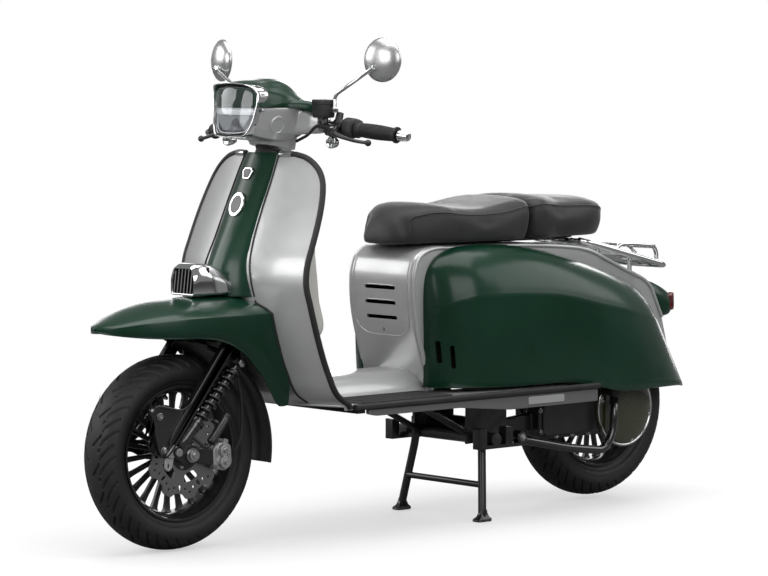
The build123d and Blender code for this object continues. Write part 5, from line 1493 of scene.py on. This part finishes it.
bolts("hub_cover_screws", [at(88 * math.cos(a), 136.4, 247 + 88 * math.sin(a)) for a in np.radians(range(15,
    375, 60))], (0, 1, 0), 0.0036, 0.0026, bright, "chassis")
guard = bent([at(412, 168, 205), at(400, 168, 196), at(248, 168, 165), at(112, 168, 147), at(78, 168, 196),
    at(76, 168, 292)], 0.028, 8)
settle(pipe("guard_tube_bend", guard, 0.0108, 28), gloss_black, "chassis", "guard_tube", slot="frame_black",
    sharp=0)
settle(turned("guard_tube_eye", [(-0.016, 0.0085), (-0.016, 0.0145), (-0.0145, 0.016), (0.0085, 0.016),
    (0.01, 0.0145), (0.01, 0.0085)], at(412, 168, 205), (0, 1, 0), 36), gloss_black, "chassis",
    slot="frame_black", sharp=35)
settle(turned("guard_tube_knob", [(-0.03, 0.0), (-0.03, 0.011), (-0.012, 0.0115), (-0.0105, 0.0148), (0.0,
    0.0166), (0.008, 0.0162), (0.0125, 0.0132), (0.0142, 0.008), (0.0145, 0.0)], at(76, 168, 297),
    (0, 1, 0), 40), rubber, "chassis", slot="black_rubber", sharp=45)
bolts("guard_tube_bolt", [at(412, 178.5, 205)], (0, 1, 0), 0.0068, 0.0056, bright, "chassis")
top, low = at(150, 88, 520), at(150, 88, 320)
settle(turned("rear_shock_body", [(0.0, 0.0), (0.0, 0.009), (0.016, 0.009), (0.017, 0.0205), (0.022,
    0.0205), (0.0225, 0.0085), (0.1, 0.0085), (0.1, 0.0142), (0.165, 0.0142), (0.166, 0.0205),
    (0.171, 0.0205), (0.172, 0.0125), (0.195, 0.0125), (0.195, 0.0)], top, (0, 0, -1), 36), gloss_black,
    "chassis", "rear_shock", slot="frame_black", sharp=35)
settle(pipe("rear_shock_spring", [top + Vector((0.0185 * math.cos(k * 0.25), 0.0185 * math.sin(k * 0.25),
    -0.026 - 0.136 * k / 200)) for k in range(201)], 0.003, 10), gloss_black, "chassis", slot="frame_black",
    sharp=0)
hose = bent([at(404, 60, 240), at(420, 40, 270), at(470, 20, 300), at(520, 10, 318)], 0.03, 8)
settle(pipe("motor_cable", hose, 0.0062, 14), rubber, "chassis", slot="black_rubber", sharp=0)

# Centre stand: bent steel tube with a cross tube and flared pressed feet, on two pivots under the frame.
# It's down on the floor. The tube is sprayed black, and the feet are worn bright below.
worn = Finish("stand_black", (0.011, 0.011, 0.012), 0.34, coat=0.35)
height = worn.node("ShaderNodeSeparateXYZ", {}, {0: worn.place}).pick(2)
bare = worn.band(height + worn.noise(60.0) * 0.012, 0.004, 0.012, 1.0, 0.0)
worn.feed("Base Color", worn.blend(bare, (0.011, 0.011, 0.012, 1), (0.22, 0.215, 0.21, 1)))
worn.feed("Metallic", bare)
for side, hand in ((1, "left"), (-1, "right")):
    leg = bent([at(500, side * 122, 205), at(502, side * 124, 176), at(521, side * 146, 40),
        at(525, side * 150, 12)], 0.03, 8)
    settle(pipe("stand_leg_" + hand, leg, 0.0102, 24), worn, "stand",
        *(("centre_stand",) if side > 0 else ()), slot="frame_black", sharp=0)
    settle(turned("stand_pivot_" + hand, [(-0.015, 0.0125), (-0.015, 0.0165), (-0.013, 0.018), (0.015,
        0.018), (0.017, 0.0165), (0.017, 0.0125)], at(500, side * 124, 205), (0, side, 0), 36), worn,
        "stand", slot="frame_black", sharp=35)
    bolts("stand_bolt_" + hand, [at(500, side * 145.5, 205)], (0, side, 0), 0.0075, 0.0058, bright,
        "chassis")
    foot = []
    for z, grow, shift in ((0.4, 1.0, 0), (4, 1.06, 0), (8, 1.0, -1), (12, 0.72, -2), (22, 0.5, -2.5),
        (30, 0.44, -3)):
        foot.append([tuple(at(525 + shift + x * grow, side * 150 + y * grow, z)) for x,
            y in rounded([(-22, -14), (22, -14), (22, 14), (-22, 14)], 8, 5)])
    settle(made("stand_foot_" + hand, *grid_mesh(foot, wrap=True, cap=True)), worn, "stand",
        slot="frame_black", sharp=40)
settle(pipe("stand_cross_tube", [at(515.5, -138, 90), at(515.5, 138, 90)], 0.0082, 24), worn, "stand",
    slot="frame_black")

# Luggage rack: bright plated tube, one hoop with long inner rods and a raised rear loop, on four bolted feet.
# The rods are brazed to the cross tubes. The cross tube in the middle takes a strap or a clamp.
hoop = bent([at(118, 80, 684), at(40, 80, 667), at(-196, 80, 610), at(-218, 60, 606), at(-218, -60, 606),
    at(-196, -80, 610), at(40, -80, 667), at(118, -80, 684)], 0.028, 9)
settle(pipe("rack_hoop", hoop, 0.0076, 22), chrome, "chassis", "rear_rack", slot="chrome", sharp=0)
for y in (-50, -18, 18, 50):
    settle(pipe("rack_rod_%d" % (y + 50), bent([at(118, y, 684.5), at(40, y, 668), at(-214, y, 609)], 0.06,
        6), 0.0056, 18), chrome, "chassis", slot="chrome", sharp=0)
for x, z in ((110, 682), (60, 671), (-60, 644), (-140, 626)):
    settle(pipe("rack_cross_%d" % (x + 140), [at(x, -79, z), at(x, 79, z)], 0.006, 20), chrome, "chassis",
        slot="chrome", sharp=0)
loop = bent([at(-28, 66, 650), at(-52, 58, 666), at(-110, 52, 665), at(-194, 46, 657), at(-212, 40, 640),
    at(-216, 36, 608)], 0.016, 7)
for side, hand in ((1, "left"), (-1, "right")):
    settle(pipe("rack_loop_" + hand, [Vector((p.x, side * p.y, p.z)) for p in loop], 0.006, 20), chrome,
        "chassis", slot="chrome", sharp=0)
    for x, z in ((36, 662), (-84, 634)):
        foot = bent([at(x, side * 66, z + 2), at(x - 4, side * 62, z - 22), at(x - 8, side * 56, z - 40)],
            0.01, 5)
        settle(pipe("rack_foot_%s_%d" % (hand, x + 84), foot, [0.0062] * (len(foot) - 1) + [0.0085], 18),
            chrome, "chassis", slot="chrome", sharp=0)
    bolts("rack_bolts_" + hand, [at(x, side * 72, z) for x, z in ((36, 660), (-84, 632))], (0, side, 0.2),
        0.0042, 0.0034, chrome, "chassis", slot="chrome")
settle(pipe("rack_loop_tie", [at(-200, -44, 655), at(-200, 44, 655)], 0.0056, 18), chrome, "chassis",
    slot="chrome", sharp=0)
# Headset: a silver lower shell with the neck, and a green upper shell with a central hump that sweeps down to the bar.
# Both are moulded with soft blends and meet on a level seam. The seam is closed by four small screws.

wing = (
    (0, (1000, 1034), (1003, 1045), (1030, 1073), (1060, 1095), (1082, 1101), (1130, 1099.5), (1182, 1091),
    (1191, 1086), (1192, 1034)),
    (30, (1000, 1034), (1003, 1045), (1031, 1071), (1061, 1092), (1083, 1098), (1130, 1097), (1182, 1090),
    (1191, 1085), (1192, 1034)),
    (50, (1000, 1034), (1003, 1044), (1033, 1064), (1063, 1083), (1085, 1090), (1130, 1091), (1182, 1087),
    (1191, 1082), (1192, 1034)),
    (66, (1001, 1034), (1003, 1042), (1036, 1056), (1066, 1068), (1088, 1074), (1130, 1080), (1182, 1081),
    (1190, 1077), (1191, 1034)),
    (79, (1001, 1033), (1003, 1040), (1036, 1050), (1066, 1057), (1088, 1060), (1130, 1064), (1180, 1066),
    (1189, 1063), (1190, 1034)),
    (84, (1001, 1032), (1003, 1039), (1036, 1048), (1066, 1053), (1086, 1054), (1128, 1050), (1178, 1046),
    (1187, 1043), (1188, 1034)),
    (88, (1001, 1031), (1003, 1038), (1034, 1047), (1058, 1051), (1072, 1051), (1086, 1048), (1096, 1044),
    (1100, 1040), (1101, 1034)),
    (106, (1000, 1024), (1002, 1035), (1026, 1044), (1040, 1046.5), (1050, 1046), (1056, 1044),
    (1060, 1040), (1062, 1035), (1062, 1028)),
    (127, (1000, 1015), (1002, 1030), (1012, 1038), (1022, 1040), (1030, 1040), (1035, 1038), (1039, 1032),
    (1040, 1024), (1040, 1015)),
)
rows = []
for y, *outline in wing:
    rows.append([tuple(at(x, y, z)) for x, z in outline])
half = np.concatenate([fair(rows[:4], 22), fair(rows[3:7], 18)[1:], fair(rows[6:], 16)[1:]])
shell = []
for row in half:
    back, front = fair([[tuple(p)] for p in row[:8]], 34)[:, 0], row[8:]
    floor_line = [row[8] * (1 - t) + row[0] * t for t in np.linspace(0, 1, 8)[1:-1]]
    shell.append(np.concatenate([back, [row[7] * 0.5 + row[8] * 0.5], front, floor_line]))
shell = np.array(shell)
whole = np.concatenate([shell[::-1] * (1, -1, 1), shell[1:]])
cover = made("headset_upper_shell", *grid_mesh(whole, wrap=True, cap=True))
settle(cover, green, "steering", "headset_upper", slot="body_green", sharp=38)

pod = []
for x, half_wide, low in ((1003, 50, 982), (1012, 62, 974), (1040, 83, 961), (1100, 88, 952),
    (1155, 85, 957), (1187, 79.5, 965)):
    side = [(0, low), (half_wide * 0.5, low + 0.5), (half_wide * 0.76, low + 4),
        (half_wide * 0.9, low + 20), (half_wide * 0.975, low + 46), (half_wide, 1024), (half_wide, 1032.5),
        (half_wide * 0.9, 1033), (0, 1033)]
    pod.append([tuple(at(x, y, z)) for y, z in side + [(-y, z) for y, z in side[-2:0:-1]]])
pieces = [made("pod", *grid_mesh(fair(pod, 40), wrap=True, cap=True))]
throat = []
for t in np.linspace(0, 1, 9):
    rim = rounded([(1022 + 14 * t, -34 + 8 * t), (1058 + 4 * t, -58 + 13 * t), (1110 - 4 * t, -58 + 14 * t),
        (1150 - 22 * t, -30 + 6 * t), (1150 - 22 * t, 30 - 6 * t), (1110 - 4 * t, 58 - 14 * t),
        (1058 + 4 * t, 58 - 13 * t), (1022 + 14 * t, 34 - 8 * t)], 9, 3)
    throat.append([tuple(at(x, y, 1000 + (926 + (x - 1029) * 0.2 - 1000) * t)) for x, y in rim])
pieces.append(made("throat", *grid_mesh(throat, wrap=True, cap=True)))
for side in (-1, 1):
    sleeve = []
    for y, x0, x1, z0, z1 in ((48, 1002, 1096, 968, 1032), (70, 1000, 1086, 968, 1032),
        (92, 999, 1064, 969, 1028), (110, 998, 1048, 971, 1019), (127, 998, 1040, 974, 1013)):
        sleeve.append([tuple(at(x, side * y, z)) for x,
            z in rounded([(x0, z0), (x1, z0), (x1, z1), (x0, z1)], 13, 4)])
    pieces.append(made("sleeve", *grid_mesh(fair(sleeve, 14), wrap=True, cap=True)))
    pieces.append(pipe("fold", [at(1026, side * 33, 1004), at(1027, side * 31, 980), at(1035, side * 27,
        931)], 0.0062, 14))
settle(fused("headset_lower_shell", pieces, 0.0017, 7), silver, "steering", "headset_lower", slot="silver",
    sharp=0)
for side in (-1, 1):
    settle(turned("headset_roundel_" + ("left" if side > 0 else "right"),
        [(-0.004, 0.0), (-0.004, 0.0215), (0.0012, 0.0212), (0.0024, 0.0196), (0.0026, 0.0185),
        (0.0014, 0.0176), (0.0014, 0.0)], at(1128, side * 83.2, 992), (0.05, side, -0.24), 48), silver,
        "steering", slot="silver")
    settle(turned("bar_collar_" + ("left" if side > 0 else "right"),
        [(-0.002, 0.0112), (-0.002, 0.0158), (0.006, 0.0158), (0.0075, 0.0145), (0.0075, 0.0112)],
        at(1019.5, side * 127.5, 992.5), (-0.18, side, -0.1), 36), chrome, "steering", slot="chrome")
    bolts("headset_screws_" + ("left" if side > 0 else "right"),
        [at(1172, side * 84.4, 1027), at(1060, side * 93.4, 1021)], (0, side, 0.0), 0.0026, 0.0018, chrome,
        "steering", slot="chrome")
settle(turned("headstock_collar", [(-0.05, 0.0), (-0.05, 0.036), (-0.012, 0.036), (-0.009, 0.039), (-0.0035,
    0.039), (-0.002, 0.036), (-0.002, 0.0)], steer(0.934), steer_way, 60), rubber, "chassis",
    slot="black_rubber")

# Headlight: a chrome bezel with a peaked upper lip, a dark reflector box with a white light bar, and a clear cover.
# The bezel is one plated pressing. A black gasket separates it from the cover, and a thin light guide follows the rim.
eye = rounded([(-58, 966), (-74, 996), (-83, 1040), (-82, 1070), (-66, 1084), (0, 1090), (66, 1084),
    (82, 1070), (83, 1040), (74, 996), (58, 966), (0, 962)], 12, 6)


def front_x(y, z):
    """How far forward the headlight's front face stands at a width and height."""
    return 1217 - (abs(y) / 82) ** 2 * 21 - (z - 964) / 124 * 11


def eye_ring(scale, back, peak=0.0):
    loop = []
    for y, z in eye:
        y2, z2 = y * scale, 1028 + (z - 1028) * scale
        lift = min(1.0, max(0.0, (z - 1066) / 16))
        loop.append(tuple(at(front_x(y2, z2) - back + peak * lift, y2, z2 + peak * 0.35 * lift)))
    return loop


bezel_rows = [eye_ring(1.0, 31), eye_ring(1.02, 22), eye_ring(1.022, 12), eye_ring(1.016, 3, 5),
    eye_ring(1.0, -0.4, 8), eye_ring(0.984, -1.0, 9), eye_ring(0.966, 0.4, 8.4), eye_ring(0.958, 2.4, 6),
    eye_ring(0.953, 8, 1), eye_ring(0.95, 13)]
bezel = made("headlight_bezel_pressing", *grid_mesh(fair(bezel_rows, 34), wrap=True))
thicken(bezel, 0.0011)
settle(bezel, chrome, "steering", "headlight_bezel", slot="chrome", sharp=60)
gasket_rows = [eye_ring(0.955, 13), eye_ring(0.95, 6.5), eye_ring(0.935, 5.2), eye_ring(0.915, 6.5),
    eye_ring(0.905, 11), eye_ring(0.905, 16)]
settle(made("headlight_gasket", *grid_mesh(fair(gasket_rows, 20), wrap=True)), rubber, "steering",
    slot="black_rubber", sharp=60)
glass = Finish("lamp_glass", (0.86, 0.88, 0.9), 0.02, coat=0.6, transmission_weight=1.0, ior=1.22)
glass.feed("Roughness", glass.band(glass.noise(30.0), 0.4, 0.8, 0.01, 0.05))
glass_rows = [eye_ring(0.925, 8.5), eye_ring(0.915, 5.6), eye_ring(0.88, 3.4), eye_ring(0.7, 0.6),
    eye_ring(0.45, -1.2), eye_ring(0.2, -2.0), eye_ring(0.02, -2.2)]
cover = made("headlight_cover", *grid_mesh(fair(glass_rows, 26), wrap=True))
thicken(cover, 0.0016)
settle(cover, glass, "steering", "headlight_lens", slot="lens_clear", sharp=60)
lamp_box = Finish("lamp_box", (0.085, 0.086, 0.088), 0.3, metal=0.5)
lamp_box.vary((0.15, 0.15, 0.155), 0.22, 0.38, 40.0)
box_rows = [eye_ring(0.915, 8), eye_ring(0.905, 14), eye_ring(0.86, 17), eye_ring(0.8, 24),
    eye_ring(0.72, 25.5), eye_ring(0.4, 26), eye_ring(0.02, 26)]
settle(made("headlight_box", *grid_mesh(fair(box_rows, 30), wrap=True)), lamp_box, "steering",
    slot="black_plastic", sharp=50)
light = Finish("light_bar", (0.85, 0.86, 0.88), 0.25)
light.even("Emission Color", (1, 1, 1, 1))
light.even("Emission Strength", 0.22)
light.feed("Base Color", light.blend(light.band(light.node("ShaderNodeTexWave", {"bands_direction": "Y"},
    {"Vector": light.place, "Scale": 90.0}), 0.2, 0.8), (0.62, 0.64, 0.66, 1), (0.92, 0.93, 0.95, 1)))
bar_line = []
for y in np.linspace(-70, 70, 15):
    bar_line.append([tuple(at(front_x(y, 1022) - 12 + dx, y, z)) for dx,
        z in rounded([(0, 1016), (3, 1014.5), (4.5, 1022), (3, 1029.5), (0, 1028), (-6, 1022)], 1.6, 2)])
settle(made("light_bar", *grid_mesh(bar_line, wrap=True, cap=True)), light, "steering", slot="lens_clear")
guide = [at(front_x(y, z) - 11, y, z) for y, z in [(-70, 1020), (-66, 1002), (-58, 984), (-46, 976), (-24,
    973), (0, 972.5), (24, 973), (46, 976), (58, 984), (66, 1002), (70, 1020)]]
settle(pipe("light_guide_low", bent(guide, 0.008), 0.0014, 8), light, "steering", slot="lens_clear",
    sharp=0)
brow = [at(front_x(y, z) - 11, y, z) for y, z in [(-70, 1024), (-74, 1046), (-70, 1064), (-58, 1073)]]
for side in (1, -1):
    settle(pipe("light_guide_" + ("left" if side > 0 else "right"),
        bent([Vector((p.x, -side * p.y, p.z)) for p in brow], 0.008), 0.0012, 8), light, "steering",
        slot="lens_clear", sharp=0)

# Handlebar: a black tube with soft barrel grips, plated bar ends, and a clamp, reservoir and switch pod on each side.
# The grips are ribbed rubber with an end flange. The levers are forged, black, with ball ends, pivoting on a screw.
bar_in, bar_out = (1022.0, 105.0, 994.0), (978.0, 346.0, 969.0)


def bar(y, side=1):
    t = (y - bar_in[1]) / (bar_out[1] - bar_in[1])
    return at(bar_in[0] + (bar_out[0] - bar_in[0]) * t, side * y, bar_in[2] + (bar_out[2] - bar_in[2]) * t)


for side, hand in ((1, "left"), (-1, "right")):
    way = (bar(346, side) - bar(105, side)).normalized()
    settle(pipe("handlebar_" + hand, [bar(128, side), bar(226, side)], 0.011, 28), enamel, "steering",
        *(("handlebar",) if side > 0 else ()), slot="frame_black")
    grip = [(0.0, 0.0112), (0.0, 0.0196), (0.0016, 0.0206), (0.0034, 0.0204), (0.0046, 0.0178),
        (0.008, 0.0172)]
    for n in range(30):
        d = 0.012 + n * 0.0031
        swell = 0.0160 + 0.0016 * math.sin(math.pi * (n / 29) ** 0.9) + 0.0008 * (1 - n / 29)
        grip += [(d, swell), (d + 0.0018, swell), (d + 0.0021, swell - 0.0007),
            (d + 0.0028, swell - 0.0007)]
    grip += [(0.1075, 0.0158), (0.1115, 0.0164), (0.1132, 0.0192), (0.1155, 0.0196), (0.1178, 0.0188),
        (0.1182, 0.0112)]
    settle(turned("grip_" + hand, grip, bar(226, side), way, 48), rubber, "steering",
        *(("grips",) if side > 0 else ()), slot="black_rubber", sharp=50)
    settle(turned("bar_end_" + hand, [(0.0, 0.0), (0.0, 0.0128), (0.002, 0.0136), (0.005, 0.0134), (0.024,
        0.0112), (0.0275, 0.0098), (0.0285, 0.0078), (0.0285, 0.004), (0.0268, 0.0032), (0.0268, 0.0)],
        bar(346, side), way, 40), chrome, "steering", slot="chrome")


    def near_bar(y, dx=0.0, dz=0.0):
        return bar(y, side) + Vector((dx * 0.001, 0, dz * 0.001))

    perch = [
        pipe("a", [near_bar(158), near_bar(184)], 0.0175, 28),
        pipe("b", [near_bar(162, 10, -8), near_bar(162, 32, -12)], 0.0105, 20),
        pipe("c", [near_bar(137, 26, 2), near_bar(192, 30, -6)], [0.0085, 0.0105], 20),
        pipe("d", [near_bar(183, 28, -8), near_bar(190, 44, -10)], [0.0125, 0.0118], 20),
        pipe("e", [near_bar(171, 6, 4), near_bar(171, -2, 34)], [0.0105, 0.0088], 20),
    ]
    settle(fused("lever_perch_" + hand, perch, 0.0014, 4), cast_black, "steering",
        *(("switchgear",) if side > 0 else ()), slot="black_plastic", sharp=0)
    tank = rounded([(-20, -20), (20, -20), (20, 20), (-20, 20)], 5, 4)
    rows = []
    for z, s in ((1009, 0.9), (1012, 0.97), (1016, 1.0), (1039, 1.0), (1040.5, 0.99), (1041, 1.05),
        (1049, 1.05), (1051, 1.02), (1051.6, 0.9)):
        rows.append([tuple(at(1039 + x * s, side * 146 + y * s, z + y * side * -0.02)) for x, y in tank])
    settle(made("reservoir_" + hand, *grid_mesh(rows, wrap=True, cap=True)), moulded, "steering",
        slot="black_plastic", sharp=32)
    bolts("reservoir_screws_" + hand, [at(1039 + x, side * 146 + y, 1051.8) for x, y in ((-13, -13), (13,
        13))], (0, 0, 1), 0.0028, 0.0012, bright, "steering", slot="chrome")
    settle(pipe("reservoir_foot_" + hand, [at(1036, side * 148, 1011), near_bar(150, 26, 2)], 0.0085, 20),
        cast_black, "steering", slot="black_plastic")
    pod_rows = []
    for y, grow in ((193, 0.84), (195, 0.95), (198, 1.0), (216, 1.0), (220, 0.95), (222, 0.84)):
        outline = rounded([(-26, -17), (14, -24), (22, -12), (21, 18), (4, 27), (-24, 20)], 9, 4)
        pod_rows.append([tuple(near_bar(y, x * grow, z * grow)) for x, z in outline])
    settle(made("switch_pod_" + hand, *grid_mesh(pod_rows, wrap=True, cap=True)), moulded, "steering",
        slot="black_plastic", sharp=35)
    for n, (y, dz, r) in enumerate(((201, 12, 0.0052), (213, 9, 0.0042), (206, -6, 0.0062))):
        settle(turned("switch_button_%s_%d" % (hand, n),
            [(-0.002, 0.0), (-0.002, r * 1.25), (0.0, r * 1.25), (0.0, r), (0.0028, r * 0.96),
            (0.0036, r * 0.7), (0.0038, 0.0)], near_bar(y, -24, dz), (-1, 0, 0.1), 24), rubber, "steering",
            slot="black_rubber")
    blade = bent([near_bar(184, 36, -9), near_bar(204, 54, -11), near_bar(240, 62, -16),
        near_bar(275, 66, -20), at(1045, side * 311, 952)], 0.018, 6)
    count = len(blade)
    arm_piece = [pipe("a", blade, [0.0078 - 0.0034 * min(1, 1.6 * i / count) for i in range(count)], 18),
        pipe("b", [near_bar(178, 36, -15), near_bar(196, 44, -15)], 0.0082, 18)]
    ball = bpy.data.meshes.new("ball")
    work = bmesh.new()
    bmesh.ops.create_uvsphere(work, u_segments=24, v_segments=16, radius=0.008,
        matrix=Matrix.Translation(at(1045, side * 312, 952)))
    work.to_mesh(ball)
    work.free()
    arm_piece.append(bpy.data.objects.new("ball", ball))
    settle(fused("lever_" + hand, arm_piece, 0.0011, 4), cast_black, "steering",
        *(("levers",) if side > 0 else ()), slot="frame_black", sharp=0)
    settle(turned("lever_pivot_" + hand, [(-0.011, 0.0), (-0.011, 0.0038), (0.011, 0.0038), (0.012, 0.0056),
        (0.0145, 0.0052), (0.015, 0.003), (0.0138, 0.0)], near_bar(186, 40, -12), (0, 0, 1), 20), bright,
        "steering", slot="alloy")
    hose = bent([near_bar(140, 27, 1), near_bar(122, 26, -4), at(1046, side * 100, 968),
        at(1052, side * 62, 952)], 0.02, 8)
    settle(pipe("brake_hose_" + hand, hose, 0.0036, 12), rubber, "steering", slot="black_rubber", sharp=0)
    harness = bent([near_bar(197, -4, -20), near_bar(170, -2, -24), near_bar(140, 0, -16),
        at(1026, side * 112, 978)], 0.012, 6)
    settle(pipe("switch_lead_" + hand, harness, 0.0028, 12), rubber, "steering", slot="black_rubber",
        sharp=0)

    centre = at(1049, side * 193, 951)
    settle(turned("indicator_shell_" + hand, [(-0.019, 0.0), (-0.0185, 0.003), (-0.015, 0.0078), (-0.006,
        0.0122), (0.004, 0.0138), (0.0095, 0.0138), (0.0108, 0.0128), (0.0108, 0.0118), (0.006, 0.0)],
        centre, (1, side * 0.12, -0.04), 40), chrome, "steering", *(("indicators",) if side > 0 else ()),
        slot="chrome")
    settle(turned("indicator_lens_" + hand, [(0.0072, 0.0), (0.0088, 0.0119), (0.0125, 0.0117), (0.0165,
        0.0096), (0.0188, 0.0056), (0.0194, 0.0)], centre, (1, side * 0.12, -0.04), 40), glass, "steering",
        slot="lens_clear")
    settle(pipe("indicator_stalk_" + hand, [centre + Vector((-0.003, 0, 0.01)), near_bar(188, 28, -8)],
        0.0052, 16), cast_black, "steering", slot="black_plastic")

# Mirrors: round, with a domed plated shell, a glass set in a black seal, and a bent plated stem on a lock nut.
# The stem ends in a ball clamp near the lower edge of the shell.
mirror_glass = Finish("mirror_glass", (0.8, 0.81, 0.82), 0.02, metal=1.0)
satin = Finish("satin_plate", (0.6, 0.602, 0.605), 0.3, metal=0.85, coat=0.3)
satin.vary((0.54, 0.542, 0.546), 0.26, 0.34, 14.0)
mirror_glass.feed("Roughness", mirror_glass.band(mirror_glass.noise(26.0), 0.45, 0.8, 0.008, 0.04))
for side, hand in ((1, "left"), (-1, "right")):
    centre = at(995, side * 301, 1145)
    out = Vector((math.cos(math.radians(13.5)), side * math.sin(math.radians(13.5)), 0.03))
    shell = [(0.0135, 0.0), (0.0133, 0.01), (0.0118, 0.022), (0.0088, 0.033), (0.0045, 0.0425),
        (-0.0005, 0.0492), (-0.0045, 0.0518), (-0.0085, 0.0522), (-0.0105, 0.0514), (-0.0108, 0.05),
        (-0.0102, 0.0488), (-0.004, 0.048), (0.004, 0.0395), (0.0103, 0.02), (0.0115, 0.0)]
    settle(turned("mirror_shell_" + hand, shell, centre, out, 72), satin, "steering",
        *(("mirrors",) if side > 0 else ()), slot="chrome", sharp=60)
    settle(turned("mirror_seal_" + hand, [(-0.0072, 0.0462), (-0.0098, 0.0468), (-0.0104, 0.0482), (-0.0098,
        0.0489), (-0.007, 0.0489)], centre, out, 72), rubber, "steering", slot="black_rubber", sharp=60)
    settle(turned("mirror_pane_" + hand, [(-0.0062, 0.0), (-0.0062, 0.0472), (-0.0088, 0.0472), (-0.0096,
        0.03), (-0.0099, 0.0)], centre, out, 72), mirror_glass, "steering", slot="chrome", sharp=60)
    knuckle = centre + out * 0.019 + Vector((0, -side * 0.014, -0.021))
    stem = bent([at(1027, side * 171, 1022), at(1025, side * 171, 1062), knuckle], 0.014, 8)
    settle(pipe("mirror_stem_" + hand, stem, 0.0043, 20), chrome, "steering", slot="chrome", sharp=0)
    settle(turned("mirror_nut_" + hand, [(0.0, 0.0045), (0.0, 0.0092), (0.002, 0.0098), (0.009, 0.0098),
        (0.011, 0.0086), (0.0125, 0.0058), (0.03, 0.0052), (0.031, 0.0045)], at(1027, side * 171, 1021),
        (0, 0, 1), 6), chrome, "steering", slot="chrome", sharp=20)
    clamp = [pipe("a", [knuckle + Vector((0, side * 0.006, 0.003)), knuckle + Vector((0, -side * 0.008,
        -0.004))], 0.0062, 16), pipe("b", [knuckle, centre + out * 0.004 + Vector((0, -side * 0.014,
        -0.021))], [0.0062, 0.0098], 20)]
    settle(fused("mirror_knuckle_" + hand, clamp, 0.0011, 3), chrome, "steering", slot="chrome", sharp=0)
    bolts("mirror_screw_" + hand, [knuckle + out * 0.006], tuple(out), 0.003, 0.0022, bright, "steering",
        slot="chrome")
# Studio: a pale seamless floor, soft boxes above and to both sides, and a long lens from the left front quarter.
# The floor and the backdrop are white to the lens and darker to other rays, and the floor keeps the shadow.
lo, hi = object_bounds()
floor_mesh = bpy.data.meshes.new("studio_floor")
floor_mesh.from_pydata([(-14, -14, 0), (14, -14, 0), (14, 14, 0), (-14, 14, 0)], [], [(0, 1, 2, 3)])
floor = bpy.data.objects.new("studio_floor", floor_mesh)
bpy.context.scene.collection.objects.link(floor)
floor_paint = Finish("studio_floor", (0.82, 0.82, 0.82), 0.9)
glow = floor_paint.node("ShaderNodeEmission", {}, {"Color": (1, 1, 1, 1), "Strength": 1.0})
from_centre = floor_paint.node("ShaderNodeVectorMath", {"operation": "LENGTH"}, [floor_paint.place]).pick(1)
far = floor_paint.node("ShaderNodeMapRange", {"interpolation_type": "SMOOTHSTEP"},
    {"Value": from_centre, "From Min": 0.9, "From Max": 2.6, "To Min": 0.5, "To Max": 1.0})
looking = floor_paint.node("ShaderNodeLightPath").pick("Is Camera Ray")
floor_paint.feed("Base Color", floor_paint.blend(looking, (0.16, 0.16, 0.16, 1), (0.9, 0.9, 0.9, 1)))
mixed = floor_paint.node("ShaderNodeMixShader", {}, {0: far * looking})
floor_paint.tree.links.new(floor_paint.shader.outputs[0], mixed.node.inputs[1])
floor_paint.tree.links.new(glow.socket, mixed.node.inputs[2])
floor_paint.tree.links.new(mixed.socket, floor_paint.tree.nodes["Material Output"].inputs["Surface"])
floor_mesh.materials.append(floor_paint.material)
world = bpy.data.worlds.new("studio")
bpy.context.scene.world = world
world.use_nodes = True
sky = Graph(world.node_tree)
path = sky.node("ShaderNodeLightPath")
seen = path.pick("Is Camera Ray")
backdrop = world.node_tree.nodes["Background"]
backdrop.inputs["Color"].default_value = (1, 1, 1, 1)
world.node_tree.links.new((seen * 0.78 + 0.22).socket, backdrop.inputs["Strength"])
for name, place, aim, size, power in (
    ("overhead", (0.2, 0.3, 3.4), (0, 0, 0.5), (4.0, 3.0), 100),
    ("left_box", (1.2, 4.2, 2.2), (0, 0, 0.5), (3.2, 2.0), 50),
    ("left_rear_box", (-2.9, 2.3, 2.5), (0, 0, 0.5), (3.6, 2.2), 45),
    ("front_box", (4.4, 0.2, 2.0), (0, 0, 0.6), (2.4, 1.8), 55),
    ("right_front_box", (3.0, -3.6, 2.3), (0, 0, 0.6), (3.0, 2.0), 60),
    ("back_box", (-3.6, -2.4, 2.4), (0, 0, 0.5), (2.4, 1.6), 50),
    ("back_wall", (-3.5, -3.9, 1.2), (0, 0, 0.6), (5.0, 2.0), 65),
):
    data = bpy.data.lights.new(name, "AREA")
    data.shape = "RECTANGLE"
    data.size, data.size_y = size
    data.energy = power
    lamp = bpy.data.objects.new(name, data)
    lamp.location = place
    lamp.visible_camera = False
    lamp.rotation_euler = (Vector(aim) - Vector(place)).to_track_quat("-Z", "Y").to_euler()
    bpy.context.scene.collection.objects.link(lamp)
lens = bpy.data.cameras.new("long_lens")
lens.sensor_width = 36.0
lens.lens = 150.57
camera = bpy.data.objects.new("long_lens", lens)
camera.location = front_axle + Vector((4.58727, 5.92508, 1.12082 - front_axle.z))
camera.rotation_euler = Vector((-0.66229, -0.74618, -0.06765)).to_track_quat("-Z", "Y").to_euler()
lens.clip_end = 60
bpy.context.scene.collection.objects.link(camera)
bpy.context.scene.camera = camera
bpy.context.scene.view_settings.view_transform = "Standard"
